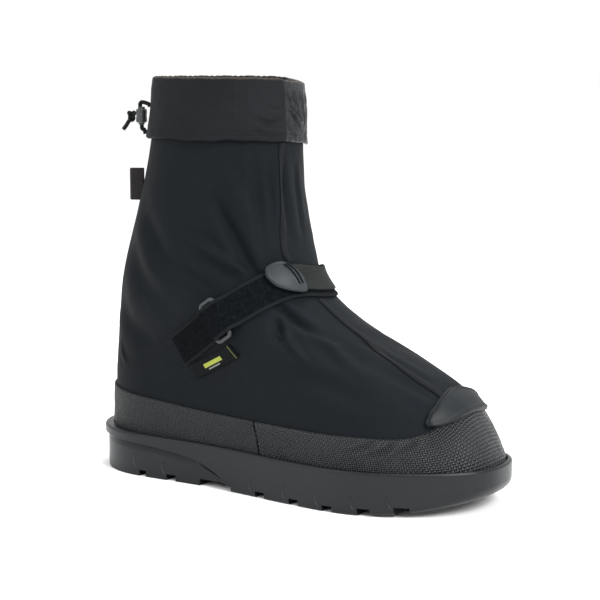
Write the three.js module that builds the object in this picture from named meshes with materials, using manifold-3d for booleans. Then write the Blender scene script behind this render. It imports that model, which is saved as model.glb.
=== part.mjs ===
// Winter overshoe for the right foot: a fabric boot with a turned-down cuff on a moulded rubber sole,
// worn over a shoe. X runs from heel to toe, Y to the inner side of the foot and Z up. The origin is on
// the floor under the middle of the heel. Lengths are in millimetres.

import * as THREE from 'three';
import { mergeVertices } from 'three/addons/utils/BufferGeometryUtils.js';
import Module from 'manifold-3d';

const wasm = await Module();
wasm.setup();

// Driving dimensions of the last and the shaft
const soleLength = 325;
const ballWidth = 122;
const heelWidth = 94;
const heelOverhang = 46; // sole behind the middle of the heel
const toeShift = 7; // how far the toe turns to the inner side
const instepHeight = 150; // floor to the instep, where the shaft begins
const rimHeight = 291; // floor to the top of the upper
const rimDip = 4; // how much lower the top runs at the front
const collarLength = 106.5;
const collarWidth = 92;
const collarBack = 5.5; // back of the collar ahead of the middle of the heel

// Sheets and seats
const upperWall = 1.6;
const foxingWall = 1.4;
const seatGap = 0.3; // between pieces that touch
const liftOff = 0.8; // under a tape that lies on the cloth

// Sole
const weltWidth = 5; // sole rim outside the upper
const heelFlange = 3; // how much further the rim stands out round the heel
const trayFloor = 20; // floor to the bottom of the tray in the sole
const rimRound = 1.6;
const bevelKnee = { out: 0.3, up: 0.4 }; // where the bevel of the lower edge turns, as shares of it
const soleRim = 33; // floor to the top of the rim at the heel
const toeSpring = 11; // lift of the tread at the toe
const toeBevel = 9; // bevel of the sole's lower edge at the toe
const heelSetBack = 2.4; // wall under the step line behind the wall above it
const treadDepth = 4.5;
const treadBlock = 22; // width of the middle row of tread blocks
const treadSlot = 6; // between the rows of tread blocks
const insoleThickness = 4;

// Cuff and drawcord
const cuffDrop = 42.3;
const cuffWall = 2.2;
const cuffFlare = 1.7; // how far the hem stands off the shaft
const cuffTurnIn = 11; // inside the collar
const gussetWall = 1.5;
const gusset = { from: 0.471, to: 0.68 }; // where the gusset begins and ends round the collar
const cordDiameter = 3;
const lock = { height: 13, depth: 7.2, width: 10, standOff: 4, round: 0.05, below: 27 };
const knot = { height: 9.5, depth: 7.5, width: 8 };
const pullLoop = { width: 23.5, layer: 1.6, slit: 1.2, reach: 11, underHem: 23, round: 0.058 };

// Strap over the instep
const strapWidth = 25;
const returnWidth = 20; // of the webbing that comes back over the strap, flush with its upper edge
const strapThickness = 1.4;
const strapRise = 4; // from the instep up to where the strap crosses the front of the ankle
const strapSlope = THREE.MathUtils.degToRad(34.6);
const strapDrop = 9; // how far the strap dips out of its plane over the instep
const anchorLength = 46;
const ring = { across: 32.5, along: 15, bar: 3, corner: 2.5, round: 0.2845, lift: 3.6 };
const tabTurn = THREE.MathUtils.degToRad(8);
const tab = { length: 27, thickness: 2.4, slot: 1.3, round: 0.433, rise: 2 };
const tag = { length: 38, width: 11.5, thickness: 0.9, round: 0.234, tilt: THREE.MathUtils.degToRad(-9) };
const binding = { width: 5, thickness: 1.2 };

// Names each column of a table of sections
const table = (columns, rows) =>
  rows.map((row) => Object.fromEntries(columns.map((name, k) => [name, row[k]])));

// Smooth curve through the rows of a table: gives every column at a place along the key column
function smoothly(rows, key) {
  const names = Object.keys(rows[0]);
  const slopes = rows.map((row, i) => {
    const before = rows[Math.max(i - 1, 0)];
    const after = rows[Math.min(i + 1, rows.length - 1)];
    const run = after[key] - before[key];
    return Object.fromEntries(names.map((name) => [name, (after[name] - before[name]) / run]));
  });
  return (place) => {
    const at = THREE.MathUtils.clamp(place, rows[0][key], rows.at(-1)[key]);
    let i = 0;
    while (i < rows.length - 2 && rows[i + 1][key] < at) i += 1;
    const run = rows[i + 1][key] - rows[i][key];
    const t = (at - rows[i][key]) / run;
    const blend = (name) => {
      const [a, b] = [rows[i][name], rows[i + 1][name]];
      const [p, q] = [slopes[i][name] * run, slopes[i + 1][name] * run];
      return a + t * p + t * t * (3 * (b - a) - 2 * p - q) + t ** 3 * (2 * (a - b) + p + q);
    };
    return Object.fromEntries(names.map((name) => [name, blend(name)]));
  };
}

// Sections of the foot: height as a share of the instep height, back as a share of the last's length,
// front as a share of the way from the shaft's front to the toe, width as a share of the foot outline,
// and how far the outline has turned into an oval
const footSections = table(
  ['height', 'back', 'front', 'width', 'oval'],
  [
    [0.0, 0.000, 1.000, 1.00, 0.00],
    [0.2, 0.000, 0.994, 1.00, 0.00],
    [0.3, 0.002, 0.955, 1.00, 0.00],
    [0.4, 0.004, 0.892, 1.00, 0.02],
    [0.5, 0.007, 0.803, 0.99, 0.08],
    [0.6, 0.010, 0.638, 0.98, 0.20],
    [0.7, 0.015, 0.424, 0.97, 0.40],
    [0.8, 0.020, 0.226, 0.96, 0.65],
    [0.9, 0.026, 0.083, 0.96, 0.85],
  ],
);

// Sections of the shaft: height as a share of the shaft above the instep, back and front as shares of
// the collar's length from its own back, width as a share of the collar's width
const shaftSections = table(
  ['height', 'back', 'front', 'width'],
  [
    [0.00, -0.305, 1.169, 1.10],
    [0.12, -0.256, 1.117, 1.09],
    [0.30, -0.178, 1.052, 1.07],
    [0.45, -0.117, 1.017, 1.05],
    [0.62, -0.060, 1.008, 1.03],
    [0.80, -0.020, 1.004, 1.01],
    [1.00, 0.000, 1.000, 1.00],
  ],
);

const lastWidth = ballWidth - 2 * weltWidth;
const lastLength = soleLength - 2 * weltWidth - heelFlange;
const lastBack = weltWidth + heelFlange - heelOverhang;
const toeX = lastBack + lastLength;
const ankleX = collarBack + shaftSections[0].front * collarLength;
const shaftHeight = rimHeight - instepHeight;
const sections = [
  ...footSections.map((row) => ({
    height: row.height * instepHeight,
    back: lastBack + row.back * lastLength,
    front: THREE.MathUtils.lerp(ankleX, toeX, row.front),
    foot: row.width,
    half: (shaftSections[0].width * collarWidth) / 2,
    oval: row.oval,
  })),
  ...shaftSections.map((row) => ({
    height: instepHeight + row.height * shaftHeight,
    back: collarBack + row.back * collarLength,
    front: collarBack + row.front * collarLength,
    foot: footSections.at(-1).width,
    half: (row.width * collarWidth) / 2,
    oval: 1,
  })),
];
const sectionAt = smoothly(sections, 'height');

// How far the outline has spread from the heel's width to the ball's, on each side of the foot
const spreadAt = smoothly(
  table(
    ['along', 'outer', 'inner'],
    [
      [0.0, 0.0, 0.0],
      [0.2, 0.05, -0.05],
      [0.42, 0.3, -0.25],
      [0.58, 0.8, 0.4],
      [0.7, 1.1, 0.9],
      [0.82, 1.05, 1.1],
      [1.0, 0.7, 1.2],
    ],
  ),
  'along',
);

// Round ends of the foot outline: each starts at a share of its length and has its own fullness
const heelEnd = { length: 0.17, power: 2.2 };
const toeEnd = { length: 0.34, power: 2.4 };
const ovalPower = 2.3;
const roundEnd = (toEnd, end) => {
  const t = Math.max(0, 1 - Math.max(toEnd, 0) / end.length);
  return (1 - t ** end.power) ** (1 / end.power);
};

// Half width of the foot outline, and of the oval that it turns into
function footHalf(along, side) {
  const halves = { heel: heelWidth / 2 - weltWidth, ball: lastWidth / 2 };
  const half = THREE.MathUtils.lerp(halves.heel, halves.ball, spreadAt(along)[side]);
  return half * roundEnd(along, heelEnd) * roundEnd(1 - along, toeEnd);
}
const ovalHalf = (along) => (1 - Math.abs(2 * along - 1) ** ovalPower) ** (1 / ovalPower);

// The toe turns to the inner side past the arch
const archX = lastBack + 0.4 * lastLength;
const swingAt = (x) => toeShift * (Math.max(x - archX, 0) / (toeX - archX)) ** 2;

const alongOf = (round) => (1 - Math.cos(2 * Math.PI * round)) / 2;

// A point on the outside of the upper: round runs from 0 at the back of the heel along the outer side to
// 0.5 at the toe, and back along the inner side to 1
function outside(round, height) {
  const section = sectionAt(height);
  const along = alongOf(round);
  const inner = Math.sin(2 * Math.PI * round) < 0;
  const foot = section.foot * footHalf(along, inner ? 'inner' : 'outer');
  const half = THREE.MathUtils.lerp(foot, section.half * ovalHalf(along), section.oval);
  const x = THREE.MathUtils.lerp(section.back, section.front, along);
  return new THREE.Vector3(x, (inner ? half : -half) + swingAt(x), height);
}

// Outward direction of the upper's surface
const step = { round: 0.002, height: 0.5 };
function outward(round, height) {
  const forward = outside(round + step.round, height).sub(outside(round - step.round, height));
  const up = outside(round, height + step.height).sub(outside(round, height - step.height));
  return forward.cross(up).normalize();
}
const place = (round, height, offset) =>
  outside(round, height).addScaledVector(outward(round, height), offset);

// Closed mesh from corner points and faces of three or four corners
function closedMesh(points, faces) {
  const geometry = new THREE.BufferGeometry();
  const corners = points.flatMap((point) => point.toArray());
  const triangles = faces.flatMap(([a, b, c, d]) => (d === undefined ? [a, b, c] : [a, b, c, a, c, d]));
  geometry.setAttribute('position', new THREE.Float32BufferAttribute(corners, 3));
  geometry.setIndex(triangles);
  geometry.computeVertexNormals();
  return geometry;
}

// Sheet between an outer and an inner grid of points, each a list of columns from the bottom up
function sheet(outer, inner, closed = false) {
  const [columns, rows] = [outer.length, outer[0].length];
  const out = (i, j) => (i % columns) * rows + j;
  const back = (i, j) => columns * rows + out(i, j);
  const faces = [];
  const spans = closed ? columns : columns - 1;
  for (let i = 0; i < spans; i += 1) {
    for (let j = 0; j < rows - 1; j += 1) {
      faces.push([out(i, j), out(i + 1, j), out(i + 1, j + 1), out(i, j + 1)]);
      faces.push([back(i, j), back(i, j + 1), back(i + 1, j + 1), back(i + 1, j)]);
    }
    const top = rows - 1;
    faces.push([back(i, 0), back(i + 1, 0), out(i + 1, 0), out(i, 0)]);
    faces.push([out(i, top), out(i + 1, top), back(i + 1, top), back(i, top)]);
  }
  const last = columns - 1;
  for (let j = 0; j < rows - 1 && !closed; j += 1) {
    faces.push([back(0, j), out(0, j), out(0, j + 1), back(0, j + 1)]);
    faces.push([out(last, j), back(last, j), back(last, j + 1), out(last, j + 1)]);
  }
  return closedMesh([...outer.flat(), ...inner.flat()], faces);
}

// Solid through a stack of loops with the same number of points, closed across both end loops
function loft(loops) {
  const count = loops[0].length;
  const at = (k, i) => k * count + (i % count);
  const faces = [];
  for (let k = 0; k < loops.length - 1; k += 1) {
    for (let i = 0; i < count; i += 1) {
      faces.push([at(k, i), at(k, i + 1), at(k + 1, i + 1), at(k + 1, i)]);
    }
  }
  const top = loops.length - 1;
  for (let i = 0; i < count / 2; i += 1) {
    const [a, b, c, d] = [i, i + 1, count - i - 1, count - i];
    const corners = [...new Set([a, b, c, d].map((corner) => corner % count))];
    faces.push(corners.map((corner) => at(top, corner)));
    faces.push(corners.reverse().map((corner) => at(0, corner)));
  }
  return closedMesh(loops.flat(), faces);
}

// Joins and cuts
function solidOf(geometry) {
  const bare = geometry.clone();
  bare.deleteAttribute('normal');
  bare.deleteAttribute('uv');
  const merged = mergeVertices(bare, 1e-4);
  const vertProperties = merged.attributes.position.array;
  const triVerts = new Uint32Array(merged.index.array);
  return new wasm.Manifold(new wasm.Mesh({ numProp: 3, vertProperties, triVerts }));
}
function geometryOf(solid) {
  const mesh = solid.getMesh();
  const geometry = new THREE.BufferGeometry();
  geometry.setAttribute('position', new THREE.BufferAttribute(mesh.vertProperties, 3));
  geometry.setIndex(new THREE.BufferAttribute(mesh.triVerts, 1));
  geometry.computeVertexNormals();
  return geometry;
}

const shoe = new THREE.Group();
function add(name, geometry, color, roughness, metalness = 0) {
  const mesh = new THREE.Mesh(geometry, new THREE.MeshStandardMaterial({ color, roughness, metalness }));
  mesh.name = name;
  shoe.add(mesh);
}

const columns = 52;
const evenly = (count, from, to) =>
  Array.from({ length: count }, (_, i) => THREE.MathUtils.lerp(from, to, i / (count - 1)));
const around = (count) => Array.from({ length: count }, (_, i) => i / count);

// The upper's columns between two rounds, with the two ends
const apart = 0.3;
function roundsBetween(from, to) {
  const first = Math.ceil(from * columns + apart);
  const last = Math.floor(to * columns - apart);
  return [from, ...evenly(last - first + 1, first, last).map((column) => column / columns), to];
}

// Heights of the upper's rows: even over the foot, then up to the rim, which dips at the front
const dip = { middle: 0.57, spread: 0.09 };
const turned = (round) => round - Math.floor(round);
const rimAt = (round) => rimHeight - rimDip * Math.exp(-(((turned(round) - dip.middle) / dip.spread) ** 2));
const footRows = evenly(15, 0, 1).map((share) => () =>
  THREE.MathUtils.lerp(trayFloor + seatGap, instepHeight, share));
const shaftRows = evenly(8, 0, 1).slice(1).map((share) => (round) =>
  THREE.MathUtils.lerp(instepHeight, rimAt(round), share));

// Grid of points on the upper's surface: rows gives height and offset for each round
const grid = (rounds, rows) =>
  rounds.map((round) => rows.map((row) => place(round, row.height(round), row.offset(round))));
const at = (height, offset) => ({ height: () => height, offset: () => offset });

// The upper: one wall, open at the collar and underneath
function upper() {
  const heights = [...footRows, ...shaftRows];
  const wallAt = (offset) => heights.map((height) => ({ height, offset: () => offset }));
  return sheet(grid(around(columns), wallAt(0)), grid(around(columns), wallAt(-upperWall)), true);
}
add('upper', upper(), 0x24282c, 0.85);

// Sections of the sole along its length, as shares: height of the rim, lift of the tread off the floor,
// bevel of the lower edge and the heel's flange
const soleShares = smoothly(
  table(
    ['along', 'rim', 'lift', 'bevel', 'flange'],
    [
      [0.0, 1, 0.055, 0.55, 1],
      [0.08, 0.985, 0, 0.28, 1],
      [0.22, 0.97, 0, 0.22, 0.6],
      [0.34, 0.955, 0, 0.22, 0],
      [0.6, 0.924, 0, 0.22, 0],
      [0.76, 0.924, 0.018, 0.28, 0],
      [0.88, 0.94, 0.32, 0.55, 0],
      [1.0, 0.97, 1, 1, 0],
    ],
  ),
  'along',
);
function soleAt(along) {
  const { rim, lift, bevel, flange } = soleShares(along);
  return { rim: rim * soleRim, lift: lift * toeSpring, bevel: bevel * toeBevel, flange };
}

// A loop round the sole: its distance outside the upper and its height, each from the section there
const soleLoop = (offset, height) =>
  around(columns).map((round) => {
    const section = soleAt(alongOf(round));
    const point = place(round, trayFloor, offset(section));
    point.z = height(section);
    return point;
  });
const rimOut = (section) => weltWidth + section.flange * heelFlange;
const trayWall = seatGap + foxingWall + seatGap;

// The step line in the side of the heel, as shares of the sole's length and of the rim's height: under
// it the wall is set back, from the back of the heel down to the end of the arch gap
const stepLine = table(
  ['along', 'height'],
  [
    [-0.05, 0.8],
    [0.1, 0.74],
    [0.24, 0.64],
    [0.33, 0.5],
    [0.385, 0.3],
    [0.41, 0.12],
    [0.425, -0.1],
  ],
);

// Cross cuts in the tread, which show as notches in the side: place and width as shares of the sole's
// length, and depth as a share of the tread's
const crossCuts = table(
  ['along', 'width', 'depth'],
  [
    [0.178, 0.02, 1],
    [0.258, 0.026, 1],
    [0.382, 0.092, 1.1],
    [0.511, 0.025, 1],
    [0.605, 0.025, 1],
    [0.692, 0.025, 1],
    [0.775, 0.028, 1.1],
    [0.852, 0.031, 1.2],
  ],
);
const longSlot = { from: 0.06, to: 0.86, depth: 0.8 };
const soleX = (along) => along * soleLength - heelOverhang;

// A bar for cutting, from its corners
function bar(low, high) {
  const size = high.clone().sub(low);
  const middle = low.clone().add(high).multiplyScalar(0.5);
  return solidOf(new THREE.BoxGeometry(size.x, size.y, size.z).translate(middle.x, middle.y, middle.z));
}

// Wall of the sole from the floor up, over the rim and down into the tray: distance outside the upper
// and height
const soleProfile = [
  { out: (at) => rimOut(at) - at.bevel, height: (at) => at.lift },
  { out: (at) => rimOut(at) - bevelKnee.out * at.bevel, height: (at) => at.lift + bevelKnee.up * at.bevel },
  { out: rimOut, height: (at) => at.lift + at.bevel },
  { out: rimOut, height: (at) => at.rim - rimRound },
  { out: (at) => rimOut(at) - rimRound, height: (at) => at.rim },
  { out: () => trayWall, height: (at) => at.rim },
  { out: () => trayWall, height: () => trayFloor },
];
const underSole = -2 * treadDepth;

// The block that takes the side of the heel back under the step line, down to a core
function heelCut() {
  const shape = new THREE.Shape();
  const heelRim = soleAt(0).rim;
  const curve = stepLine.map((row) => new THREE.Vector2(soleX(row.along), row.height * heelRim));
  shape.moveTo(curve[0].x, underSole);
  shape.lineTo(curve[0].x, curve[0].y);
  shape.splineThru(curve.slice(1));
  shape.lineTo(curve.at(-1).x, underSole);
  const across = { depth: 2 * ballWidth, bevelEnabled: false, curveSegments: 3 };
  const block = new THREE.ExtrudeGeometry(shape, across).rotateX(Math.PI / 2).translate(0, ballWidth, 0);
  const setBack = (section) => rimOut(section) - heelSetBack;
  const core = loft([soleLoop(setBack, () => 2 * underSole), soleLoop(setBack, () => rimHeight)]);
  return solidOf(block).subtract(solidOf(core));
}

function outsole() {
  const body = solidOf(loft(soleProfile.map((row) => soleLoop(row.out, row.height))));
  const cuts = crossCuts.map((cut) => {
    const half = (cut.width * soleLength) / 2;
    const top = soleAt(cut.along).lift + cut.depth * treadDepth;
    const low = new THREE.Vector3(soleX(cut.along) - half, -ballWidth, underSole);
    return bar(low, new THREE.Vector3(soleX(cut.along) + half, ballWidth, top));
  });
  const slots = [-1, 1].map((side) => {
    const y = (side * (treadBlock + treadSlot)) / 2;
    const low = new THREE.Vector3(soleX(longSlot.from), y - treadSlot / 2, underSole);
    return bar(low, new THREE.Vector3(soleX(longSlot.to), y + treadSlot / 2, longSlot.depth * treadDepth));
  });
  return geometryOf([heelCut(), ...cuts, ...slots].reduce((solid, cut) => solid.subtract(cut), body));
}
add('outsole', outsole(), 0x3a4043, 0.6);

function insole() {
  const inside = -upperWall - seatGap;
  const loopAt = (height) => around(columns).map((round) => {
    const point = place(round, trayFloor + insoleThickness, inside);
    point.z = height;
    return point;
  });
  const floor = trayFloor + seatGap;
  return loft([loopAt(floor), loopAt(floor + insoleThickness)]);
}
add('insole', insole(), 0x4a4744, 0.95);

// Textured band that covers the lower edge of the upper, in two lengths that meet at the middle of the
// sides: height of its top edge as a share of the instep height, on each half of the round
const bandMeet = 0.25;
const bandSeam = 0.0004;
const bandSeat = 0.45; // under the band, where the upper is round both ways
const bandTop = smoothly(
  table(
    ['turn', 'height'],
    [
      [0.0, 0.44],
      [0.139, 0.391],
      [0.196, 0.368],
      [0.25, 0.357],
      [0.34, 0.353],
      [0.385, 0.353],
      [0.422, 0.387],
      [0.439, 0.42],
      [0.476, 0.493],
      [0.5, 0.513],
    ],
  ),
  'turn',
);
const turnOf = (round) => 0.5 - Math.abs(turned(round) - 0.5);
const fixedBandRows = 4;
function foxing(from, to, shares) {
  const fixed = footRows.slice(0, fixedBandRows);
  const reach = (share) => (round) =>
    THREE.MathUtils.lerp(fixed.at(-1)(round), bandTop(turnOf(round)).height * instepHeight, share);
  const heights = [...fixed, ...shares.map(reach)];
  const rounds = roundsBetween(from, to);
  const face = (offset) => grid(rounds, heights.map((height) => ({ height, offset: () => offset })));
  return sheet(face(seatGap + foxingWall), face(bandSeat));
}
add('foxing_rear', foxing(-bandMeet, bandMeet, [0.5, 1]), 0x3b3c40, 0.75);
const toeBand = foxing(bandMeet + bandSeam, 1 - bandMeet - bandSeam, [1 / 3, 2 / 3, 1]);
add('foxing_toe', toeBand, 0x3b3c40, 0.75);

// Moulded shield over the toe, thick at its lower lip and thin at its upper edge: the heights of both
// edges as shares of the instep height
const shieldEdge = smoothly(
  table(
    ['turn', 'low', 'high'],
    [
      [0.0, 0.433, 0.536],
      [0.011, 0.431, 0.532],
      [0.024, 0.427, 0.523],
      [0.044, 0.413, 0.503],
      [0.0577, 0.404, 0.48],
      [0.0675, 0.4, 0.463],
      [0.08, 0.403, 0.423],
    ],
  ),
  'turn',
);
const shieldRows = table(
  ['share', 'thickness'],
  [
    [0, 1.2],
    [0.14, 3],
    [0.3, 2.2],
    [0.65, 1.8],
    [1, 1.2],
  ],
);
const shieldReach = 0.08;
const shieldTop = shieldEdge(0).high * instepHeight;
function toePatch() {
  const rounds = roundsBetween(0.5 - shieldReach, 0.5 + shieldReach);
  const rowAt = (share) => (round) => {
    const edge = shieldEdge(Math.abs(round - 0.5));
    return instepHeight * THREE.MathUtils.lerp(edge.low, edge.high, share);
  };
  const face = (offset) =>
    grid(rounds, shieldRows.map((row) => ({ height: rowAt(row.share), offset: () => offset(row) })));
  return sheet(face((row) => trayWall + row.thickness), face(() => trayWall));
}
add('toe_patch', toePatch(), 0x454b4e, 0.5);

// Turned-down collar: an upside-down U over the rim, in a main band and a thinner front gusset
function cuff(rounds, wall) {
  const lining = -upperWall - seatGap;
  const profile = table(
    ['drop', 'inner', 'outer', 'crown'],
    [
      [cuffDrop, seatGap + cuffFlare, wall, 0],
      [cuffDrop / 2, seatGap + cuffFlare / 2, wall, 0],
      [-seatGap, seatGap, 0.8 * wall, 0.35 * wall],
      [-seatGap, -upperWall / 2, 0, 0.8 * wall],
      [-seatGap, lining, -0.5 * wall, 0.35 * wall],
      [cuffTurnIn, lining, -0.5 * wall, 0],
    ],
  );
  const face = (height, offset) => grid(rounds, profile.map((row) => ({
    height: (round) => rimAt(round) - row.drop + height(row),
    offset: () => row.inner + offset(row),
  })));
  return sheet(face((row) => row.crown, (row) => row.outer), face(() => 0, () => 0));
}
const cuffSeam = 0.002;
const gussetRounds = roundsBetween(gusset.from + cuffSeam, gusset.to - cuffSeam);
add('cuff', cuff(roundsBetween(gusset.to - 1, gusset.from), cuffWall), 0x2c2d30, 0.8);
add('cuff_gusset', cuff(gussetRounds, gussetWall), 0x25272b, 0.5);

// The ankle strap runs round the upper in a tilted plane. A point on it: its round, how far it lies above
// the middle of the strap, and its distance off the upper
const strapHeight = instepHeight + strapRise;
const strapMiddle = new THREE.Vector3(sectionAt(strapHeight).front, 0, strapHeight);
const strapUp = new THREE.Vector3(-Math.sin(strapSlope), 0, Math.cos(strapSlope));
const aboveStrap = (point) => point.clone().sub(strapMiddle).dot(strapUp);
const halvings = 24;
function halve(low, high, isLow) {
  for (let k = 0; k < halvings; k += 1) {
    const middle = (low + high) / 2;
    if (isLow(middle)) low = middle;
    else high = middle;
  }
  return low;
}
const dropAt = { middle: 0.525, spread: 0.07 };
function strapPoint(round, above, offset) {
  const dropped = above - strapDrop * Math.exp(-(((round - dropAt.middle) / dropAt.spread) ** 2));
  const height = halve(trayFloor, rimHeight, (middle) => aboveStrap(outside(round, middle)) < dropped);
  return place(round, height, offset);
}

// The round that lies a distance along the strap from another
const strides = 8;
function strapRound(from, distance) {
  let round = from;
  for (let k = 0; k < strides; k += 1) {
    const ahead = strapPoint(round + step.round, 0, 0);
    const span = ahead.distanceTo(strapPoint(round - step.round, 0, 0));
    round += ((distance / strides) * 2 * step.round) / span;
  }
  return round;
}

// A flat frame on the strap at a round: X along it, Y across it and Z off the upper
function strapFrame(round, offset) {
  const ahead = strapPoint(round + step.round, 0, 0);
  const along = ahead.sub(strapPoint(round - step.round, 0, 0)).normalize();
  const off = strapPoint(round, 0, 1).sub(strapPoint(round, 0, 0));
  const across = off.cross(along).normalize();
  const frame = new THREE.Matrix4().makeBasis(along, across, along.clone().cross(across));
  return frame.setPosition(strapPoint(round, 0, offset));
}

// A length of tape: each station gives a round and how far the two faces lie off the upper there
const rowsAcross = 4;
function tape(stations, width = strapWidth) {
  const levels = evenly(rowsAcross, strapWidth / 2 - width, strapWidth / 2);
  const face = (key) =>
    stations.map((station) => levels.map((level) => strapPoint(station.round, level, station[key])));
  return solidOf(sheet(face('top'), face('under')));
}
const layer = { first: liftOff, second: liftOff + strapThickness + seatGap };
const flat = (under) => (round) => ({ round, under, top: under + strapThickness });
const mirrored = (stations) =>
  stations.map((station) => ({ ...station, round: 1 - station.round })).reverse();

// Rings at both ends of the strap: a flat frame with a bar for each tape
function ringFrame(round) {
  const [x, y, r] = [ring.along / 2, ring.across / 2, ring.corner];
  const shape = new THREE.Shape();
  shape.moveTo(r - x, -y);
  shape.lineTo(x - r, -y).quadraticCurveTo(x, -y, x, r - y);
  shape.lineTo(x, y - r).quadraticCurveTo(x, y, x - r, y);
  shape.lineTo(r - x, y).quadraticCurveTo(-x, y, -x, y - r);
  shape.lineTo(-x, r - y).quadraticCurveTo(-x, -y, r - x, -y);
  const [u, v] = [x - ring.bar, y - ring.bar];
  const hole = [[-u, -v], [-u, v], [u, v], [u, -v]].map((corner) => new THREE.Vector2(...corner));
  shape.holes.push(new THREE.Path(hole));
  const plate = new THREE.ExtrudeGeometry(shape, { depth: ring.bar, bevelEnabled: false, curveSegments: 3 });
  plate.translate(0, 0, -ring.bar / 2).applyMatrix4(strapFrame(round, ring.lift));
  return geometryOf(solidOf(plate));
}

// How a tape turns round a bar: the room left for the bar, and the height and reach of the turn
const barOut = (ring.along - ring.bar) / 2;
const aroundBar = ring.bar / 2 + seatGap + strapThickness;
const turn = { reach: aroundBar, top: ring.lift + aroundBar + seatGap };
function barRoom(round, out) {
  const room = ring.bar + 2 * seatGap;
  const ahead = round < 0.5 ? out : -out;
  const box = new THREE.BoxGeometry(room, ring.across, room).translate(ahead, 0, 0);
  return solidOf(box.applyMatrix4(strapFrame(round, ring.lift)));
}
const fromRing = (distance) => strapRound(ring.round, distance);
const slopedBy = 1.2; // how much lower a turn is at its edges
const turnEnd = (distance, under) => ({ round: fromRing(distance), under, top: turn.top - slopedBy });
const turnTop = (distance, under) => ({ round: fromRing(distance), under, top: turn.top });

function anchor(side) {
  const ends = [-anchorLength, -0.7 * anchorLength, -0.45 * anchorLength, -barOut - turn.reach - seatGap];
  const stations = ends.map(fromRing).map(flat(layer.first));
  return geometryOf(tape(side < 0 ? stations : mirrored(stations)));
}
add('strap_anchor_outer', anchor(-1), 0x1e2022, 0.95);
add('strap_anchor_inner', anchor(1), 0x1e2022, 0.95);
add('strap_ring_outer', ringFrame(ring.round), 0x45494c, 0.5);
add('strap_ring_inner', ringFrame(1 - ring.round), 0x45494c, 0.5);

// The strap starts round the outer ring and crosses the instep; its return lies on it and goes round the
// inner ring
const ringTurn = (under) => [
  turnEnd(-barOut - turn.reach, under),
  turnTop(-barOut, under),
  turnTop(barOut, under),
  turnEnd(barOut + turn.reach, under),
];
const strapEnd = fromRing(barOut + 3 * turn.reach);
const clearOfBars = (solid, round) =>
  geometryOf(solid.subtract(barRoom(round, -barOut)).subtract(barRoom(round, barOut)));
function instepStrap() {
  const across = roundsBetween(strapEnd, 1 - strapEnd).map(flat(layer.first));
  return clearOfBars(tape([...ringTurn(layer.first), ...across]), ring.round);
}
function returnStrap() {
  const across = roundsBetween(tab.round, 1 - strapEnd).map(flat(layer.second));
  const stations = [...across, ...mirrored(ringTurn(layer.second))];
  return clearOfBars(tape(stations, returnWidth), 1 - ring.round);
}
add('instep_strap', instepStrap(), 0x1e2022, 0.95);
add('return_strap', returnStrap(), 0x383b3c, 0.85);

// Pull tab on the end of the return: a leaf with a round back that follows the strap. Its lower and
// upper outline along it, as shares of its length
const tabOutline = table(
  ['along', 'low', 'high'],
  [
    [-0.44, 0.3, 0.38],
    [-0.42, 0.19, 0.48],
    [-0.37, -0.01, 0.55],
    [-0.28, -0.165, 0.56],
    [-0.15, -0.32, 0.55],
    [0.0, -0.435, 0.51],
    [0.13, -0.5, 0.43],
    [0.25, -0.49, 0.31],
    [0.34, -0.36, 0.19],
    [0.39, -0.22, 0.08],
    [0.41, -0.09, -0.02],
  ],
);

// A point of the tab: its place along and across, as shares of its length, and its height over the return
function tabPoint(along, across, height) {
  const flatPoint = new THREE.Vector2(along, across).multiplyScalar(tab.length);
  flatPoint.rotateAround(new THREE.Vector2(), tabTurn);
  const round = strapRound(tab.round, flatPoint.x);
  return strapPoint(round, flatPoint.y + tab.rise, layer.second + strapThickness + seatGap + height);
}

// Two curved slots beside the wide edge: where each runs along the tab for a place across it, as shares
// of its length
const tabSlots = table(
  ['across', 'first', 'second'],
  [
    [-0.22, 0.28, 0.186],
    [-0.06, 0.296, 0.202],
    [0.1, 0.285, 0.185],
    [0.26, 0.222, 0.128],
    [0.4, 0.11, 0.04],
  ],
);
function tabSlot(which) {
  const halfWidth = tab.slot / tab.length / 2;
  const face = (height) => tabSlots.map((row) =>
    [halfWidth, -halfWidth].map((beside) => tabPoint(row[which] + beside, row.across, height)));
  return solidOf(sheet(face(tab.thickness + seatGap), face(-seatGap)));
}
function pullTab() {
  const shares = evenly(4, 0, 1);
  const face = (height) => tabOutline.map(({ along, low, high }) =>
    shares.map((share) => tabPoint(along, THREE.MathUtils.lerp(low, high, share), height)));
  const leaf = solidOf(sheet(face(tab.thickness), face(0)));
  return geometryOf(leaf.subtract(tabSlot('first')).subtract(tabSlot('second')));
}
add('pull_tab', pullTab(), 0x454b4e, 0.45);

// Small label under the anchor's lower edge, slightly out of line with it
function sideTag() {
  const levels = evenly(3, 0, -tag.width);
  const places = evenly(4, -tag.length / 2, tag.length / 2);
  const corner = -strapWidth / 2 - 2 * seatGap;
  const face = (offset) => places.map((distance) => levels.map((level) => {
    const above = corner + level + (distance + tag.length / 2) * Math.tan(tag.tilt);
    return strapPoint(strapRound(tag.round, distance), above, offset);
  }));
  return sheet(face(liftOff), face(liftOff + tag.thickness));
}
add('side_tag', sideTag(), 0x26282b, 0.8);

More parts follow.
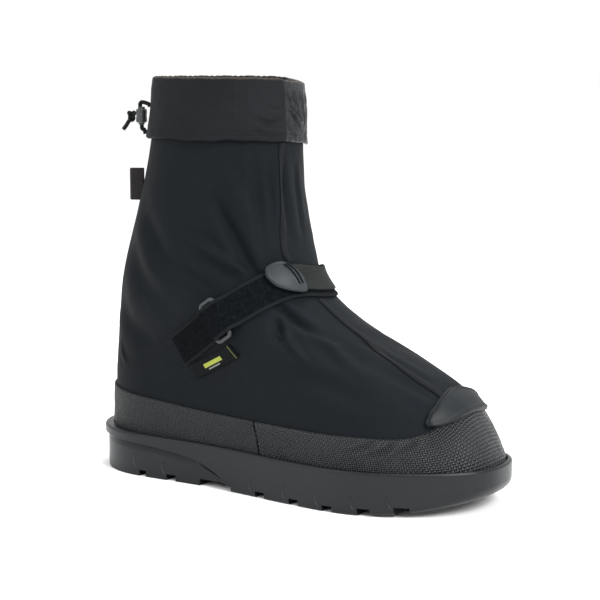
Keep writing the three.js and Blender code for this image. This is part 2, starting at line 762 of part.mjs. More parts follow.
// Bound edge of the closing flap, in two lengths above and below the strap: where it runs on the outer
// side of the foot's middle, as shares of the rim's height and of half the collar's width
const flapEdge = smoothly(
  table(
    ['height', 'out'],
    [
      [0.275, 0.22],
      [0.302, 0.28],
      [0.326, 0.29],
      [0.364, 0.21],
      [0.395, 0.12],
      [0.45, 0.11],
      [0.481, 0.16],
      [0.533, 0.3],
      [0.56, 0.38],
      [0.591, 0.43],
      [0.711, 0.3],
      [0.842, 0.26],
    ],
  ),
  'height',
);
const flapSide = { from: 0.3, to: 0.5 };
function flapPlace(height) {
  const y = (-flapEdge(height / rimHeight).out * collarWidth) / 2;
  return { height, round: halve(flapSide.from, flapSide.to, (round) => outside(round, height).y < y) };
}
const belowPatch = 2; // between the binding and the toe patch or the strap
function flapBinding(from, to, stations) {
  const places = evenly(stations, from, to).map(flapPlace);
  const middle = (index) => outside(places[index].round, places[index].height);
  return loft(places.map(({ round, height }, k) => {
    const along = middle(Math.min(k + 1, stations - 1)).sub(middle(Math.max(k - 1, 0)));
    const across = outward(round, height).cross(along).setLength(binding.width / 2);
    const corner = (side, offset) => place(round, height, offset).addScaledVector(across, side);
    const [low, high] = [liftOff, liftOff + binding.thickness];
    return [corner(-1, low), corner(1, low), corner(1, high), corner(-1, high)];
  }));
}
// Height at which the flap's edge meets a level of the strap
const flapMeets = (above) => halve(shieldTop, rimHeight - cuffDrop, (height) => {
  const { round } = flapPlace(height);
  return aboveStrap(outside(round, height)) < aboveStrap(strapPoint(round, above, 0));
});
const hemHeight = rimHeight - cuffDrop - rimDip / 2;
const strapTop = flapMeets(strapWidth / 2 + belowPatch);
const strapFoot = flapMeets(-strapWidth / 2 - belowPatch);
const patchTop = shieldTop + belowPatch;
add('flap_binding_shaft', flapBinding(strapTop, hemHeight, 10), 0x2b2d30, 0.85);
add('flap_binding_vamp', flapBinding(patchTop, strapFoot, 10), 0x2b2d30, 0.85);

// A flat frame at a place on the shaft: X straight out, Y sideways and Z up from the floor
function standFrame(round, height) {
  const out = outward(round, height).setZ(0).normalize();
  const up = new THREE.Vector3(0, 0, 1);
  const frame = new THREE.Matrix4().makeBasis(out, up.clone().cross(out), up);
  return frame.setPosition(outside(round, height).setZ(0));
}

// Pull loop at the back of the shaft: a folded webbing whose ends meet the cloth
function loopOfWebbing() {
  const { width, layer: ply, slit, reach } = pullLoop;
  const bottom = rimHeight - cuffDrop - pullLoop.underHem - width;
  const [half, inner] = [ply + slit / 2, slit / 2];
  const bend = reach - half;
  const shape = new THREE.Shape();
  shape.moveTo(-reach, half);
  shape.lineTo(-reach, -half);
  shape.lineTo(bend, -half);
  shape.absarc(bend, 0, half, -Math.PI / 2, Math.PI / 2);
  const slot = new THREE.Path();
  slot.moveTo(-reach + ply, inner);
  slot.lineTo(-reach + ply, -inner);
  slot.lineTo(bend, -inner);
  slot.absarc(bend, 0, inner, -Math.PI / 2, Math.PI / 2);
  shape.holes.push(slot);
  const web = new THREE.ExtrudeGeometry(shape, { depth: width, bevelEnabled: false, curveSegments: 6 });
  web.translate(0, 0, bottom).applyMatrix4(standFrame(pullLoop.round, bottom + width / 2));
  const loops = evenly(4, bottom - ply, bottom + width + ply).map((height) =>
    around(columns).map((round) => place(round, height, seatGap)));
  return geometryOf(solidOf(web).subtract(solidOf(loft(loops))));
}
add('pull_loop', loopOfWebbing(), 0x463f42, 0.85);

// Cord lock at the back of the cuff: a barrel standing off the cloth, and the cord that runs through it
const lockHeight = rimHeight - lock.below;
const lockAxis = outward(lock.round, lockHeight).setZ(0).normalize();
function cuffFace(height) {
  const lean = outside(lock.round, height).sub(outside(lock.round, lockHeight)).dot(lockAxis);
  return lean + seatGap + cuffWall + (cuffFlare * (rimHeight - height)) / cuffDrop;
}
const lockOut = cuffFace(lockHeight) + lock.standOff + lock.depth / 2;
const lockFrame = standFrame(lock.round, lockHeight);
function cordLock() {
  const { height, depth, width } = lock;
  const edge = 0.7;
  const outline = [
    [0, -height / 2],
    [width / 2 - edge, -height / 2],
    [width / 2, edge - height / 2],
    [width / 2, height / 2 - edge],
    [width / 2 - edge, height / 2],
    [0, height / 2],
  ].map((corner) => new THREE.Vector2(...corner));
  const barrel = new THREE.LatheGeometry(outline, 14).rotateX(Math.PI / 2).scale(depth / width, 1, 1);
  return geometryOf(solidOf(barrel.translate(lockOut, 0, lockHeight).applyMatrix4(lockFrame)));
}
add('cord_lock', cordLock(), 0x474c4e, 0.4);

// A cord through points that give the distance off the shaft, sideways and the height
const cordStep = 2.5;
function cord(points) {
  const path = new THREE.CatmullRomCurve3(points.map((point) => new THREE.Vector3(...point)));
  const outline = new THREE.Shape();
  outline.absarc(0, 0, cordDiameter / 2, 0, 2 * Math.PI);
  const steps = Math.max(4, Math.round(path.getLength() / cordStep));
  const run = { steps, extrudePath: path, curveSegments: 8, bevelEnabled: false };
  return geometryOf(solidOf(new THREE.ExtrudeGeometry(outline, run).applyMatrix4(lockFrame)));
}
const lockTop = lockHeight + lock.height / 2;
const lockBottom = lockHeight - lock.height / 2;
const cordOut = (height) => cuffFace(height) + cordDiameter / 2 + 2 * seatGap;
const upperStrand = [
  [cordOut(lockTop), 0, lockTop],
  [cordOut(lockTop) + 0.8, 0, lockTop + 2],
  [lockOut - 0.6, 0, lockTop + 3.4],
  [lockOut + 1, 0, lockTop + 2],
  [lockOut + 1, 0, lockTop + 2 * seatGap],
];
const hemSide = rimHeight - cuffDrop + 2;
const lowerStrand = [
  [lockOut, 0, lockBottom - seatGap],
  [lockOut - 0.4, 0, lockBottom - 3],
  [cordOut(hemSide) + 1.2, 0, hemSide + 3],
  [cordOut(hemSide) + 0.4, 0, hemSide],
];
const knotOut = lockOut + lock.depth / 2 + seatGap + knot.depth / 2;
const knotFoot = lockHeight - knot.height / 2 - seatGap;
const tail = [
  [knotOut + 2.6, 0, knotFoot + 0.4],
  [knotOut + 4, 0, knotFoot - 1.8],
  [knotOut + 6.5, 0, knotFoot - 5],
];
function cordKnot() {
  const ball = new THREE.SphereGeometry(0.5, 10, 8).rotateX(Math.PI / 2);
  ball.scale(knot.depth, knot.width, knot.height).translate(knotOut, 0, lockHeight);
  return geometryOf(solidOf(ball.applyMatrix4(lockFrame)));
}
add('drawcord_upper', cord(upperStrand), 0x151617, 0.9);
add('drawcord_lower', cord(lowerStrand), 0x151617, 0.9);
add('drawcord_knot', cordKnot(), 0x151617, 0.9);
add('drawcord_tail', cord(tail), 0x151617, 0.9);

export default shoe;
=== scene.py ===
"""Looks of a fabric winter overshoe for the right foot, standing on a pale studio floor."""

import math

import bpy
import numpy as np
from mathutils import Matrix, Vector


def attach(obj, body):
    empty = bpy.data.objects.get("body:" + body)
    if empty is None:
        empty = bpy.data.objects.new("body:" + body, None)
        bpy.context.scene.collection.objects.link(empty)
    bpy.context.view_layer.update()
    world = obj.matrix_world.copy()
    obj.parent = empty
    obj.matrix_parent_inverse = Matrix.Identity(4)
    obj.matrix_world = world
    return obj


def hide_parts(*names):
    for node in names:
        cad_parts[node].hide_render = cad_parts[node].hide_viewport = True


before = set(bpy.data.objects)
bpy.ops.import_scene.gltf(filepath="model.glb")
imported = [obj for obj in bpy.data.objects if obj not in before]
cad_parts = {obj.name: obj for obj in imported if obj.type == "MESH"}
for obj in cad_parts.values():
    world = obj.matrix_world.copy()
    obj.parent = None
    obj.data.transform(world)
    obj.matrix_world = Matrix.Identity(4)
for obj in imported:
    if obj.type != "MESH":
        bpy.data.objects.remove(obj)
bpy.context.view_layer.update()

# Camera: the photograph's view from the front of the outer side, a little above the collar's middle,
# through a long lens.
photo_turn = 32.2
photo_pitch = 8.17
camera_data = bpy.data.cameras.new("camera")
camera_data.lens = 102
camera_data.sensor_width = 36
camera = bpy.data.objects.new("camera", camera_data)
camera.location = (0.7629, -1.0216, 0.3074)
camera.rotation_euler = (math.radians(90 - photo_pitch), 0, math.radians(photo_turn))
bpy.context.scene.collection.objects.link(camera)
bpy.context.scene.camera = camera

# Studio: a white paper floor that runs on past the view, an even white surround and three large soft
# lamps. Colours are shown as they are, so that white paper comes out white.
floor_size, paper_shade = 60, 0.93
bpy.context.scene.view_settings.view_transform = "Standard"


def put(tree, kind, sockets=None, **settings):
    """Adds a node to a node tree; a socket given as a value is set, one given as an output is linked."""
    made = tree.nodes.new(kind)
    for name, value in settings.items():
        setattr(made, name, value)
    for name, value in (sockets or {}).items():
        if isinstance(value, bpy.types.NodeSocket):
            tree.links.new(value, made.inputs[name])
        else:
            made.inputs[name].default_value = value
    return made


def plain_floor():
    mesh = bpy.data.meshes.new("floor")
    half = floor_size / 2
    corners = [(-half, -half, 0), (half, -half, 0), (half, half, 0), (-half, half, 0)]
    mesh.from_pydata(corners, [], [(0, 1, 2, 3)])
    paper = bpy.data.materials.new("floor_paper")
    paper.use_nodes = True
    shader = paper.node_tree.nodes["Principled BSDF"]
    shader.inputs["Base Color"].default_value = (paper_shade, paper_shade, paper_shade, 1)
    shader.inputs["Roughness"].default_value = 0.8
    shader.inputs["Specular IOR Level"].default_value = 0.05
    mesh.materials.append(paper)
    floor = bpy.data.objects.new("floor", mesh)
    bpy.context.scene.collection.objects.link(floor)


plain_floor()
surround_strength = 1.08
world = bpy.data.worlds.new("surround")
world.use_nodes = True
world.node_tree.nodes["Background"].inputs["Color"].default_value = (1, 1, 1, 1)
world.node_tree.nodes["Background"].inputs["Strength"].default_value = surround_strength
bpy.context.scene.world = world

# Each lamp: place, the point it faces, width and power in watts.
lamps = {
    "key_left": ((-0.75, -1.55, 1.15), (0.06, 0, 0.1), 0.7, 9),
    "key_right": ((1.7, -0.55, 1.25), (0.12, 0, 0.08), 0.8, 46),
    "top_soft": ((0.25, 0.25, 1.9), (0.1, 0, 0.1), 0.9, 26),
}
for lamp_name, (place_at, faces, width, power) in lamps.items():
    lamp_data = bpy.data.lights.new(lamp_name, "AREA")
    lamp_data.size = width
    lamp_data.energy = power
    lamp = bpy.data.objects.new(lamp_name, lamp_data)
    lamp.location = place_at
    lamp.rotation_euler = (Vector(faces) - Vector(place_at)).to_track_quat("-Z", "Y").to_euler()
    bpy.context.scene.collection.objects.link(lamp)

# Upper: one piece of matte woven nylon sewn to the form of the last, pulled into folds where the strap
# closes it. Heights and distances in these sections are in millimetres.
MM = 0.001
sole_length, ball_width, heel_width = 325, 122, 94
heel_overhang, welt_width, heel_flange = 46, 5, 3
toe_shift, instep_height, rim_height, rim_dip = 7, 150, 291, 4
collar_length, collar_width, collar_back = 106.5, 92, 5.5
cuff_drop, tray_floor = 42.3, 20
upper_wall, seat_gap, lift_off = 1.6, 0.3, 0.8


def smooth_rows(rows):
    """Smooth curve through the rows of a table, read by its first column."""
    rows = np.array(rows, float)
    key = rows[:, 0]
    run = np.vstack([rows[1:], rows[-1:]]) - np.vstack([rows[:1], rows[:-1]])
    slope = run / run[:, :1]

    def read(place):
        at = np.clip(place, key[0], key[-1])
        i = np.clip(np.searchsorted(key, at, side="right") - 1, 0, len(key) - 2)
        gap = (key[i + 1] - key[i])[..., None]
        t = (at - key[i])[..., None] / gap
        a, b = rows[i], rows[i + 1]
        p, q = slope[i] * gap, slope[i + 1] * gap
        value = a + t * p + t**2 * (3 * (b - a) - 2 * p - q) + t**3 * (2 * (a - b) + p + q)
        return np.moveaxis(value, -1, 0)

    return read


# Sections of the foot: height share, back, front, width and how oval; and of the shaft: height share,
# back, front and width.
foot_rows = [
    (0.0, 0.000, 1.000, 1.00, 0.00),
    (0.2, 0.000, 0.994, 1.00, 0.00),
    (0.3, 0.002, 0.955, 1.00, 0.00),
    (0.4, 0.004, 0.892, 1.00, 0.02),
    (0.5, 0.007, 0.803, 0.99, 0.08),
    (0.6, 0.010, 0.638, 0.98, 0.20),
    (0.7, 0.015, 0.424, 0.97, 0.40),
    (0.8, 0.020, 0.226, 0.96, 0.65),
    (0.9, 0.026, 0.083, 0.96, 0.85),
]
shaft_rows = [
    (0.00, -0.305, 1.169, 1.10),
    (0.12, -0.256, 1.117, 1.09),
    (0.30, -0.178, 1.052, 1.07),
    (0.45, -0.117, 1.017, 1.05),
    (0.62, -0.060, 1.008, 1.03),
    (0.80, -0.020, 1.004, 1.01),
    (1.00, 0.000, 1.000, 1.00),
]
last_length = sole_length - 2 * welt_width - heel_flange
last_back = welt_width + heel_flange - heel_overhang
toe_x = last_back + last_length
ankle_x = collar_back + shaft_rows[0][2] * collar_length
wide = shaft_rows[0][3] * collar_width / 2
section_at = smooth_rows(
    [
        (h * instep_height, last_back + b * last_length, ankle_x + f * (toe_x - ankle_x), w, wide, oval)
        for h, b, f, w, oval in foot_rows
    ]
    + [
        (
            instep_height + h * (rim_height - instep_height),
            collar_back + b * collar_length,
            collar_back + f * collar_length,
            foot_rows[-1][3],
            w * collar_width / 2,
            1,
        )
        for h, b, f, w in shaft_rows
    ]
)
# How far the outline has spread from heel to ball, on the outer and inner side of the foot
spread_at = smooth_rows(
    [
        (0.0, 0.0, 0.0),
        (0.2, 0.05, -0.05),
        (0.42, 0.3, -0.25),
        (0.58, 0.8, 0.4),
        (0.7, 1.1, 0.9),
        (0.82, 1.05, 1.1),
        (1.0, 0.7, 1.2),
    ]
)


def along_of(turn):
    return (1 - np.cos(2 * np.pi * turn)) / 2


def swing_at(x):
    arch_x = last_back + 0.4 * last_length
    return toe_shift * (np.maximum(x - arch_x, 0) / (toe_x - arch_x)) ** 2


def round_end(to_end, length, power):
    t = np.clip(1 - np.maximum(to_end, 0) / length, 0, 1)
    return (1 - t**power) ** (1 / power)


def outside(turn, height):
    """Point on the last: turn runs 0 at the heel, outer side, 0.5 at the toe, inner side, 1."""
    turn, height = np.broadcast_arrays(np.asarray(turn, float), np.asarray(height, float))
    _, back, front, foot_width, half, oval = section_at(height)
    along = along_of(turn)
    inner = np.sin(2 * np.pi * turn) < 0
    _, outer_spread, inner_spread = spread_at(along)
    heel_half = heel_width / 2 - welt_width
    ball_half = ball_width / 2 - welt_width
    foot = heel_half + (ball_half - heel_half) * np.where(inner, inner_spread, outer_spread)
    foot = foot * round_end(along, 0.17, 2.2) * round_end(1 - along, 0.34, 2.4) * foot_width
    egg = half * (1 - np.minimum(np.abs(2 * along - 1), 1) ** 2.3) ** (1 / 2.3)
    y = foot + (egg - foot) * oval
    x = back + (front - back) * along
    return np.stack([x, np.where(inner, y, -y) + swing_at(x), height], -1)


def unit(vectors):
    return vectors / np.linalg.norm(vectors, axis=-1, keepdims=True)


def outward(turn, height):
    forward = outside(turn + 0.002, height) - outside(turn - 0.002, height)
    up = outside(turn, height + 0.5) - outside(turn, height - 0.5)
    return unit(np.cross(forward, up))


def surface(turn, height, offset=0.0):
    turn, height = np.broadcast_arrays(np.asarray(turn, float), np.asarray(height, float))
    return outside(turn, height) + outward(turn, height) * np.asarray(offset, float)[..., None]


def rim_at(turn):
    return rim_height - rim_dip * np.exp(-(((turn % 1 - 0.57) / 0.09) ** 2))


# The textured band's upper edge: turn from the heel or toe's side and share of the instep height
band_rows = smooth_rows(
    [
        (0.0, 0.44),
        (0.139, 0.391),
        (0.196, 0.368),
        (0.25, 0.357),
        (0.34, 0.353),
        (0.385, 0.353),
        (0.422, 0.387),
        (0.439, 0.42),
        (0.476, 0.493),
        (0.5, 0.513),
    ]
)


def band_top(turn):
    return band_rows(0.5 - np.abs(turn % 1 - 0.5))[1] * instep_height


# The strap runs round the ankle in a tilted plane and dips over the instep
strap_width, strap_slope, strap_drop = 25, math.radians(34.6), 9
strap_height = instep_height + 4
strap_middle = np.array([section_at(np.array(strap_height))[2], 0, strap_height])
strap_up = np.array([-math.sin(strap_slope), 0, math.cos(strap_slope)])


def above_strap(turn, points):
    """How far points at a turn lie above the middle of the strap."""
    dip = strap_drop * np.exp(-(((turn - 0.525) / 0.07) ** 2))
    return (points - strap_middle) @ strap_up + dip


def path_points(path, count=40):
    """Points on the last along a path given by turn and height."""
    path = np.array(path, float)
    share = np.linspace(0, len(path) - 1, count)
    turn = np.interp(share, range(len(path)), path[:, 0])
    height = np.interp(share, range(len(path)), path[:, 1])
    return surface(turn, height)


def crease(points, path, rise, half_width):
    """Soft trough or ridge along a path: a trough pushes up a lower shoulder on both sides."""
    line = path_points(path)
    nearest = np.full(points.shape[:-1], 1e9)
    share = np.zeros(points.shape[:-1])
    for k, (a, b) in enumerate(zip(line[:-1], line[1:])):
        along = b - a
        t = np.clip(((points - a) @ along) / (along @ along), 0, 1)
        distance = np.linalg.norm(points - a - t[..., None] * along, axis=-1)
        closer = distance < nearest
        nearest = np.where(closer, distance, nearest)
        share = np.where(closer, (k + t) / (len(line) - 1), share)
    fade = np.sin(np.pi * np.clip(share, 0.03, 0.97)) ** 0.6
    middle = np.exp(-((nearest / half_width) ** 2))
    shoulder = np.exp(-(((nearest - 1.8 * half_width) / half_width) ** 2))
    return rise * fade * (middle - 0.35 * shoulder)


def ripple(points, size, seed):
    """Gentle unevenness of cloth, about one unit high: waves of one size in several directions."""
    steady = np.random.default_rng(seed)
    total = np.zeros(points.shape[:-1])
    for _ in range(7):
        direction = unit(steady.normal(size=3))
        phase = steady.uniform(0, 2 * np.pi)
        total += np.sin(points @ direction * 2 * np.pi / size * steady.uniform(0.7, 1.4) + phase)
    return total / 3.5


# Where troughs meet, the cloth sinks no deeper than this
deepest_fold = 4.5
# Folds, one by one: a path of turn and height, how far it rises (a trough is below zero) and half its width
folds = [
    ([(0.311, 210), (0.325, 199), (0.344, 186), (0.360, 172), (0.376, 157), (0.392, 143)], -4.5, 4.4),
    ([(0.250, 184), (0.285, 178), (0.318, 169), (0.348, 161), (0.370, 155)], 2.6, 2.6),
    ([(0.245, 174), (0.290, 167), (0.335, 155), (0.365, 146)], -2.0, 4.5),
    ([(0.325, 230), (0.359, 211), (0.385, 193), (0.397, 172)], 2.2, 6.0),
    ([(0.150, 196), (0.177, 183), (0.219, 163), (0.250, 150)], -2.6, 8.0),
    ([(0.240, 168), (0.275, 152), (0.310, 143)], -2.6, 6.0),
    ([(0.120, 170), (0.160, 150), (0.215, 132)], -2.2, 9.0),
    ([(0.395, 240), (0.405, 215), (0.402, 185), (0.400, 168)], -1.8, 3.6),
    ([(0.452, 244), (0.456, 215), (0.452, 180)], 1.2, 2.2),
    ([(0.470, 240), (0.474, 210), (0.470, 180)], -1.8, 2.2),
    ([(0.432, 236), (0.438, 212), (0.434, 186)], -1.4, 2.0),
    ([(0.508, 232), (0.512, 208), (0.506, 182)], -1.4, 2.4),
    ([(0.440, 96), (0.450, 84), (0.462, 76)], -1.6, 4.0),
    ([(0.425, 84), (0.440, 74), (0.455, 68)], 1.2, 4.0),
    ([(0.470, 112), (0.478, 98), (0.486, 86)], -1.2, 3.5),
    ([(0.490, 236), (0.493, 205), (0.490, 176)], 1.0, 3.0),
    ([(0.386, 142), (0.397, 134), (0.401, 127), (0.407, 121), (0.424, 113)], -4.5, 3.6),
    ([(0.392, 131), (0.375, 121), (0.359, 111), (0.352, 100)], 2.6, 2.6),
    ([(0.380, 128), (0.362, 118), (0.330, 108)], -2.8, 4.2),
    ([(0.412, 122), (0.412, 108), (0.400, 94)], 2.2, 4.6),
    ([(0.425, 112), (0.435, 98), (0.440, 84)], -1.2, 6.0),
    ([(0.084, 97), (0.094, 87), (0.106, 79)], 1.0, 2.4),
    ([(0.300, 96), (0.340, 86), (0.380, 74)], -2.0, 7.0),
    ([(0.090, 130), (0.120, 112), (0.170, 100)], -1.8, 8.0),
    ([(0.600, 190), (0.640, 172), (0.700, 158)], -3.6, 5.5),
    ([(0.610, 130), (0.640, 118), (0.680, 108)], -3.2, 5.5),
    ([(0.740, 190), (0.800, 170), (0.850, 150)], -2.8, 8.0),
    ([(0.560, 118), (0.580, 104), (0.600, 90)], -1.6, 6.0),
    ([(0.930, 150), (0.900, 120), (0.880, 95)], -1.0, 9.0),
]


def cloth_rise(turn, height):
    """How far the cloth stands off the last: its folds, held flat under the band, strap and cuff."""
    turn, height = np.broadcast_arrays(np.asarray(turn, float), np.asarray(height, float))
    points = surface(turn, height)
    rise = 0.35 * ripple(points, 70, 3) + 0.15 * ripple(points, 24, 5)
    for path, fold_rise, half_width in folds:
        rise = rise + crease(points, path, fold_rise, half_width)
    hem = rim_at(turn) - cuff_drop
    free = np.clip((height - band_top(turn) - 1) / 12, 0, 1) * np.clip((hem + 3 - height) / 9, 0, 1)
    beside = np.clip((np.abs(above_strap(turn, points)) - strap_width / 2 - 1) / 8, 0, 1)
    return free * np.where(rise > 0, rise * beside, np.maximum(rise, -deepest_fold))


def add_mesh(name, points, faces, maps, material, smooth_angle=40):
    """Piece from points in millimetres, with its cloth map in metres."""
    mesh = bpy.data.meshes.new(name)
    mesh.from_pydata((points.reshape(-1, 3) * MM).tolist(), [], faces)
    cloth_map = mesh.uv_layers.new(name="cloth")
    cloth_map.data.foreach_set("uv", (np.concatenate(maps) * MM).astype("f").ravel())
    mesh.materials.append(material)
    mesh.set_sharp_from_angle(angle=math.radians(smooth_angle))
    piece = bpy.data.objects.new(name, mesh)
    bpy.context.scene.collection.objects.link(piece)
    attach(piece, "root")
    return piece


def steps(points, axis):
    """Running distance along one side of a grid of points, averaged over the other side."""
    gaps = np.linalg.norm(np.roll(points, -1, axis=axis) - points, axis=-1).mean(axis=1 - axis)
    return np.concatenate([[0], np.cumsum(gaps)])


def add_skin(name, points, material, closed_turn=True, across=None, smooth_angle=40):
    """Piece from a grid of points, turns by profile; the profile closes on itself."""
    turns, rows = points.shape[:2]
    along = steps(points, 0)
    across = steps(points, 1) if across is None else np.append(across, across[0])
    spans = turns if closed_turn else turns - 1
    i, j = (grid.ravel() for grid in np.meshgrid(range(spans), range(rows), indexing="ij"))
    after, beside = (i + 1) % turns, (j + 1) % rows
    quads = np.stack([i * rows + j, after * rows + j, after * rows + beside, i * rows + beside], -1)
    corners = [(along[i], across[j]), (along[i + 1], across[j])]
    corners += [(along[i + 1], across[j + 1]), (along[i], across[j + 1])]
    maps = [np.stack([np.stack(corner, -1) for corner in corners], 1).reshape(-1, 2)]
    faces = quads.tolist()
    if not closed_turn:
        last = (turns - 1) * rows
        faces += [list(range(rows)), list(range(last + rows - 1, last - 1, -1))]
        end = np.stack([np.zeros(rows), across[:rows]], -1)
        maps += [end, end[::-1]]
    return add_mesh(name, points, faces, maps, material, smooth_angle)


def new_group(name, inputs, outputs):
    """Empty node group; inputs and outputs are names with a socket kind."""
    group = bpy.data.node_groups.new(name, "ShaderNodeTree")
    for way, sockets in (("INPUT", inputs), ("OUTPUT", outputs)):
        for socket, kind in sockets.items():
            group.interface.new_socket(socket, in_out=way, socket_type=f"NodeSocket{kind}")
    return group, group.nodes.new("NodeGroupInput"), group.nodes.new("NodeGroupOutput")


def maths(tree, operation, first, second=0.0):
    return put(tree, "ShaderNodeMath", {0: first, 1: second}, operation=operation).outputs[0]


def weave_group():
    """Plain weave: height of the threads from the cloth's own map. Pitch is in metres."""
    group, start, end = new_group("plain_weave", {"Pitch": "Float"}, {"Height": "Float"})
    cloth = put(group, "ShaderNodeUVMap", uv_map="cloth")
    per_metre = maths(group, "DIVIDE", 1.0, start.outputs["Pitch"])
    scaled = put(
        group, "ShaderNodeVectorMath", {0: cloth.outputs[0], "Scale": per_metre}, operation="SCALE"
    )
    apart = put(group, "ShaderNodeSeparateXYZ", {0: scaled.outputs[0]})
    waves = []
    for axis in ("X", "Y"):
        wave = maths(group, "SINE", maths(group, "MULTIPLY", apart.outputs[axis], math.pi))
        waves.append(maths(group, "ABSOLUTE", wave))
    over = put(group, "ShaderNodeTexChecker", {"Vector": scaled.outputs[0], "Scale": 1.0})
    height = put(group, "ShaderNodeMix", {0: over.outputs["Fac"], 2: waves[0], 3: waves[1]})
    group.links.new(height.outputs[0], end.inputs["Height"])
    return group


def mottle_group():
    """Uneven dye and handling marks: a colour between two, changing slowly, with fine fibre in it."""
    inputs = {"Dark": "Color", "Light": "Color", "Size": "Float", "Fibre": "Float"}
    group, start, end = new_group("mottle", inputs, {"Color": "Color", "Mask": "Float"})
    place = put(group, "ShaderNodeTexCoord").outputs["Object"]
    noises = []
    for size, detail in (("Size", 3.0), ("Fibre", 2.0)):
        sockets = {"Vector": place, "Scale": start.outputs[size], "Detail": detail}
        noises.append(put(group, "ShaderNodeTexNoise", sockets).outputs[0])
    both = put(group, "ShaderNodeMix", {0: 0.4, 2: noises[0], 3: noises[1]})
    spread = put(group, "ShaderNodeMapRange", {0: both.outputs[0], 1: 0.35, 2: 0.65}).outputs[0]
    sockets = {0: spread, 6: start.outputs["Dark"], 7: start.outputs["Light"]}
    color = put(group, "ShaderNodeMix", sockets, data_type="RGBA")
    group.links.new(color.outputs[2], end.inputs["Color"])
    group.links.new(spread, end.inputs["Mask"])
    return group


weave = weave_group()
mottle = mottle_group()


def new_material(name, dark, light, size=14.0, fibre=900.0, rough=(0.6, 0.75), gloss=0.1):
    """Material mottled between two colours and two roughnesses; gives its tree, shader and mottle."""
    material = bpy.data.materials.new(name)
    material.use_nodes = True
    tree = material.node_tree
    shader = tree.nodes["Principled BSDF"]
    sockets = {"Dark": (*dark, 1), "Light": (*light, 1), "Size": size, "Fibre": fibre}
    shader.inputs["Specular IOR Level"].default_value = gloss
    color = put(tree, "ShaderNodeGroup", sockets, node_tree=mottle)
    tree.links.new(color.outputs["Color"], shader.inputs["Base Color"])
    roughness = put(tree, "ShaderNodeMapRange", {0: color.outputs["Mask"], 3: rough[0], 4: rough[1]})
    tree.links.new(roughness.outputs[0], shader.inputs["Roughness"])
    return material, tree, shader, color


def noise(tree, scale, detail=3.0):
    place = put(tree, "ShaderNodeTexCoord").outputs["Object"]
    return put(tree, "ShaderNodeTexNoise", {"Vector": place, "Scale": scale, "Detail": detail}).outputs[0]


def bump(tree, shader, layers):
    """Relief from several layers of height, each with its depth in millimetres and its strength."""
    normal = None
    for height, depth, strength in layers:
        sockets = {"Height": height, "Distance": depth * MM, "Strength": strength}
        if normal is not None:
            sockets["Normal"] = normal
        normal = put(tree, "ShaderNodeBump", sockets).outputs["Normal"]
    tree.links.new(normal, shader.inputs["Normal"])


def threads(tree, pitch):
    return put(tree, "ShaderNodeGroup", {"Pitch": pitch * MM}, node_tree=weave).outputs["Height"]


def finish_piece(piece, slot, *nodes):
    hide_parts(*nodes)


def shaft_nylon():
    material, tree, shader, _ = new_material(
        "shaft_nylon", (0.003, 0.0043, 0.0056), (0.0055, 0.0075, 0.0095), gloss=0.07
    )
    layers = [(noise(tree, 28.0, 5.0), 3.5, 0.5), (noise(tree, 90.0, 4.0), 1.2, 0.5)]
    bump(tree, shader, [*layers, (threads(tree, 0.6), 0.12, 0.6)])
    shader.inputs["Sheen Weight"].default_value = 0.02
    shader.inputs["Sheen Roughness"].default_value = 0.4
    return material


def upper():
    turns = np.linspace(0, 1, 380, endpoint=False)[:, None]
    bottom = tray_floor + seat_gap
    out_heights = bottom + (rim_at(turns) - bottom) * np.linspace(0, 1, 190)[None, :]
    in_heights = bottom + (rim_at(turns) - bottom) * np.linspace(1, 0, 36)[None, :]
    cloth = surface(turns, out_heights, cloth_rise(turns, out_heights))
    sunk = np.minimum(cloth_rise(turns, in_heights), 0)
    lining = surface(turns, in_heights, sunk - upper_wall)
    piece = add_skin("upper_cloth", np.concatenate([cloth, lining], axis=1), shaft_nylon())
    finish_piece(piece, "shaft_cloth", "upper")


upper()

# Outsole: one moulding of black rubber. A rounded rim stands out round the upper, most at the heel, where
# a step line runs down to the arch; the tread is cut into bars.
rim_round, foxing_wall = 1.6, 1.4
heel_set_back, tread_depth, tread_block, tread_slot = 2.4, 4.5, 22, 6
sole_rim, toe_spring, toe_bevel = 33, 11, 9
tray_wall = seat_gap + foxing_wall + seat_gap
# Shares along the sole: rim, lift of the tread, bevel of the lower edge and the heel's flange
sole_rows = smooth_rows(
    [
        (0.0, 1, 0.055, 0.55, 1),
        (0.08, 0.985, 0, 0.28, 1),
        (0.22, 0.97, 0, 0.22, 0.6),
        (0.34, 0.955, 0, 0.22, 0),
        (0.6, 0.924, 0, 0.22, 0),
        (0.76, 0.924, 0.018, 0.28, 0),
        (0.88, 0.94, 0.32, 0.55, 0),
        (1.0, 0.97, 1, 1, 0),
    ]
)
# The step line's share of the rim's height at shares of the sole's length
step_line = smooth_rows(
    [(-0.05, 0.81), (0.1, 0.76), (0.24, 0.67), (0.33, 0.53), (0.385, 0.32), (0.41, 0.13), (0.425, -0.1)]
)
# Cuts across the tread: place, width and depth as shares of the sole's length and of the tread
tread_cuts = [
    (0.178, 0.02, 1),
    (0.258, 0.026, 1),
    (0.382, 0.092, 1.1),
    (0.511, 0.025, 1),
    (0.605, 0.025, 1),
    (0.692, 0.025, 1),
    (0.775, 0.028, 1.1),
    (0.852, 0.031, 1.2),
]


def sole_x(share):
    return share * sole_length - heel_overhang


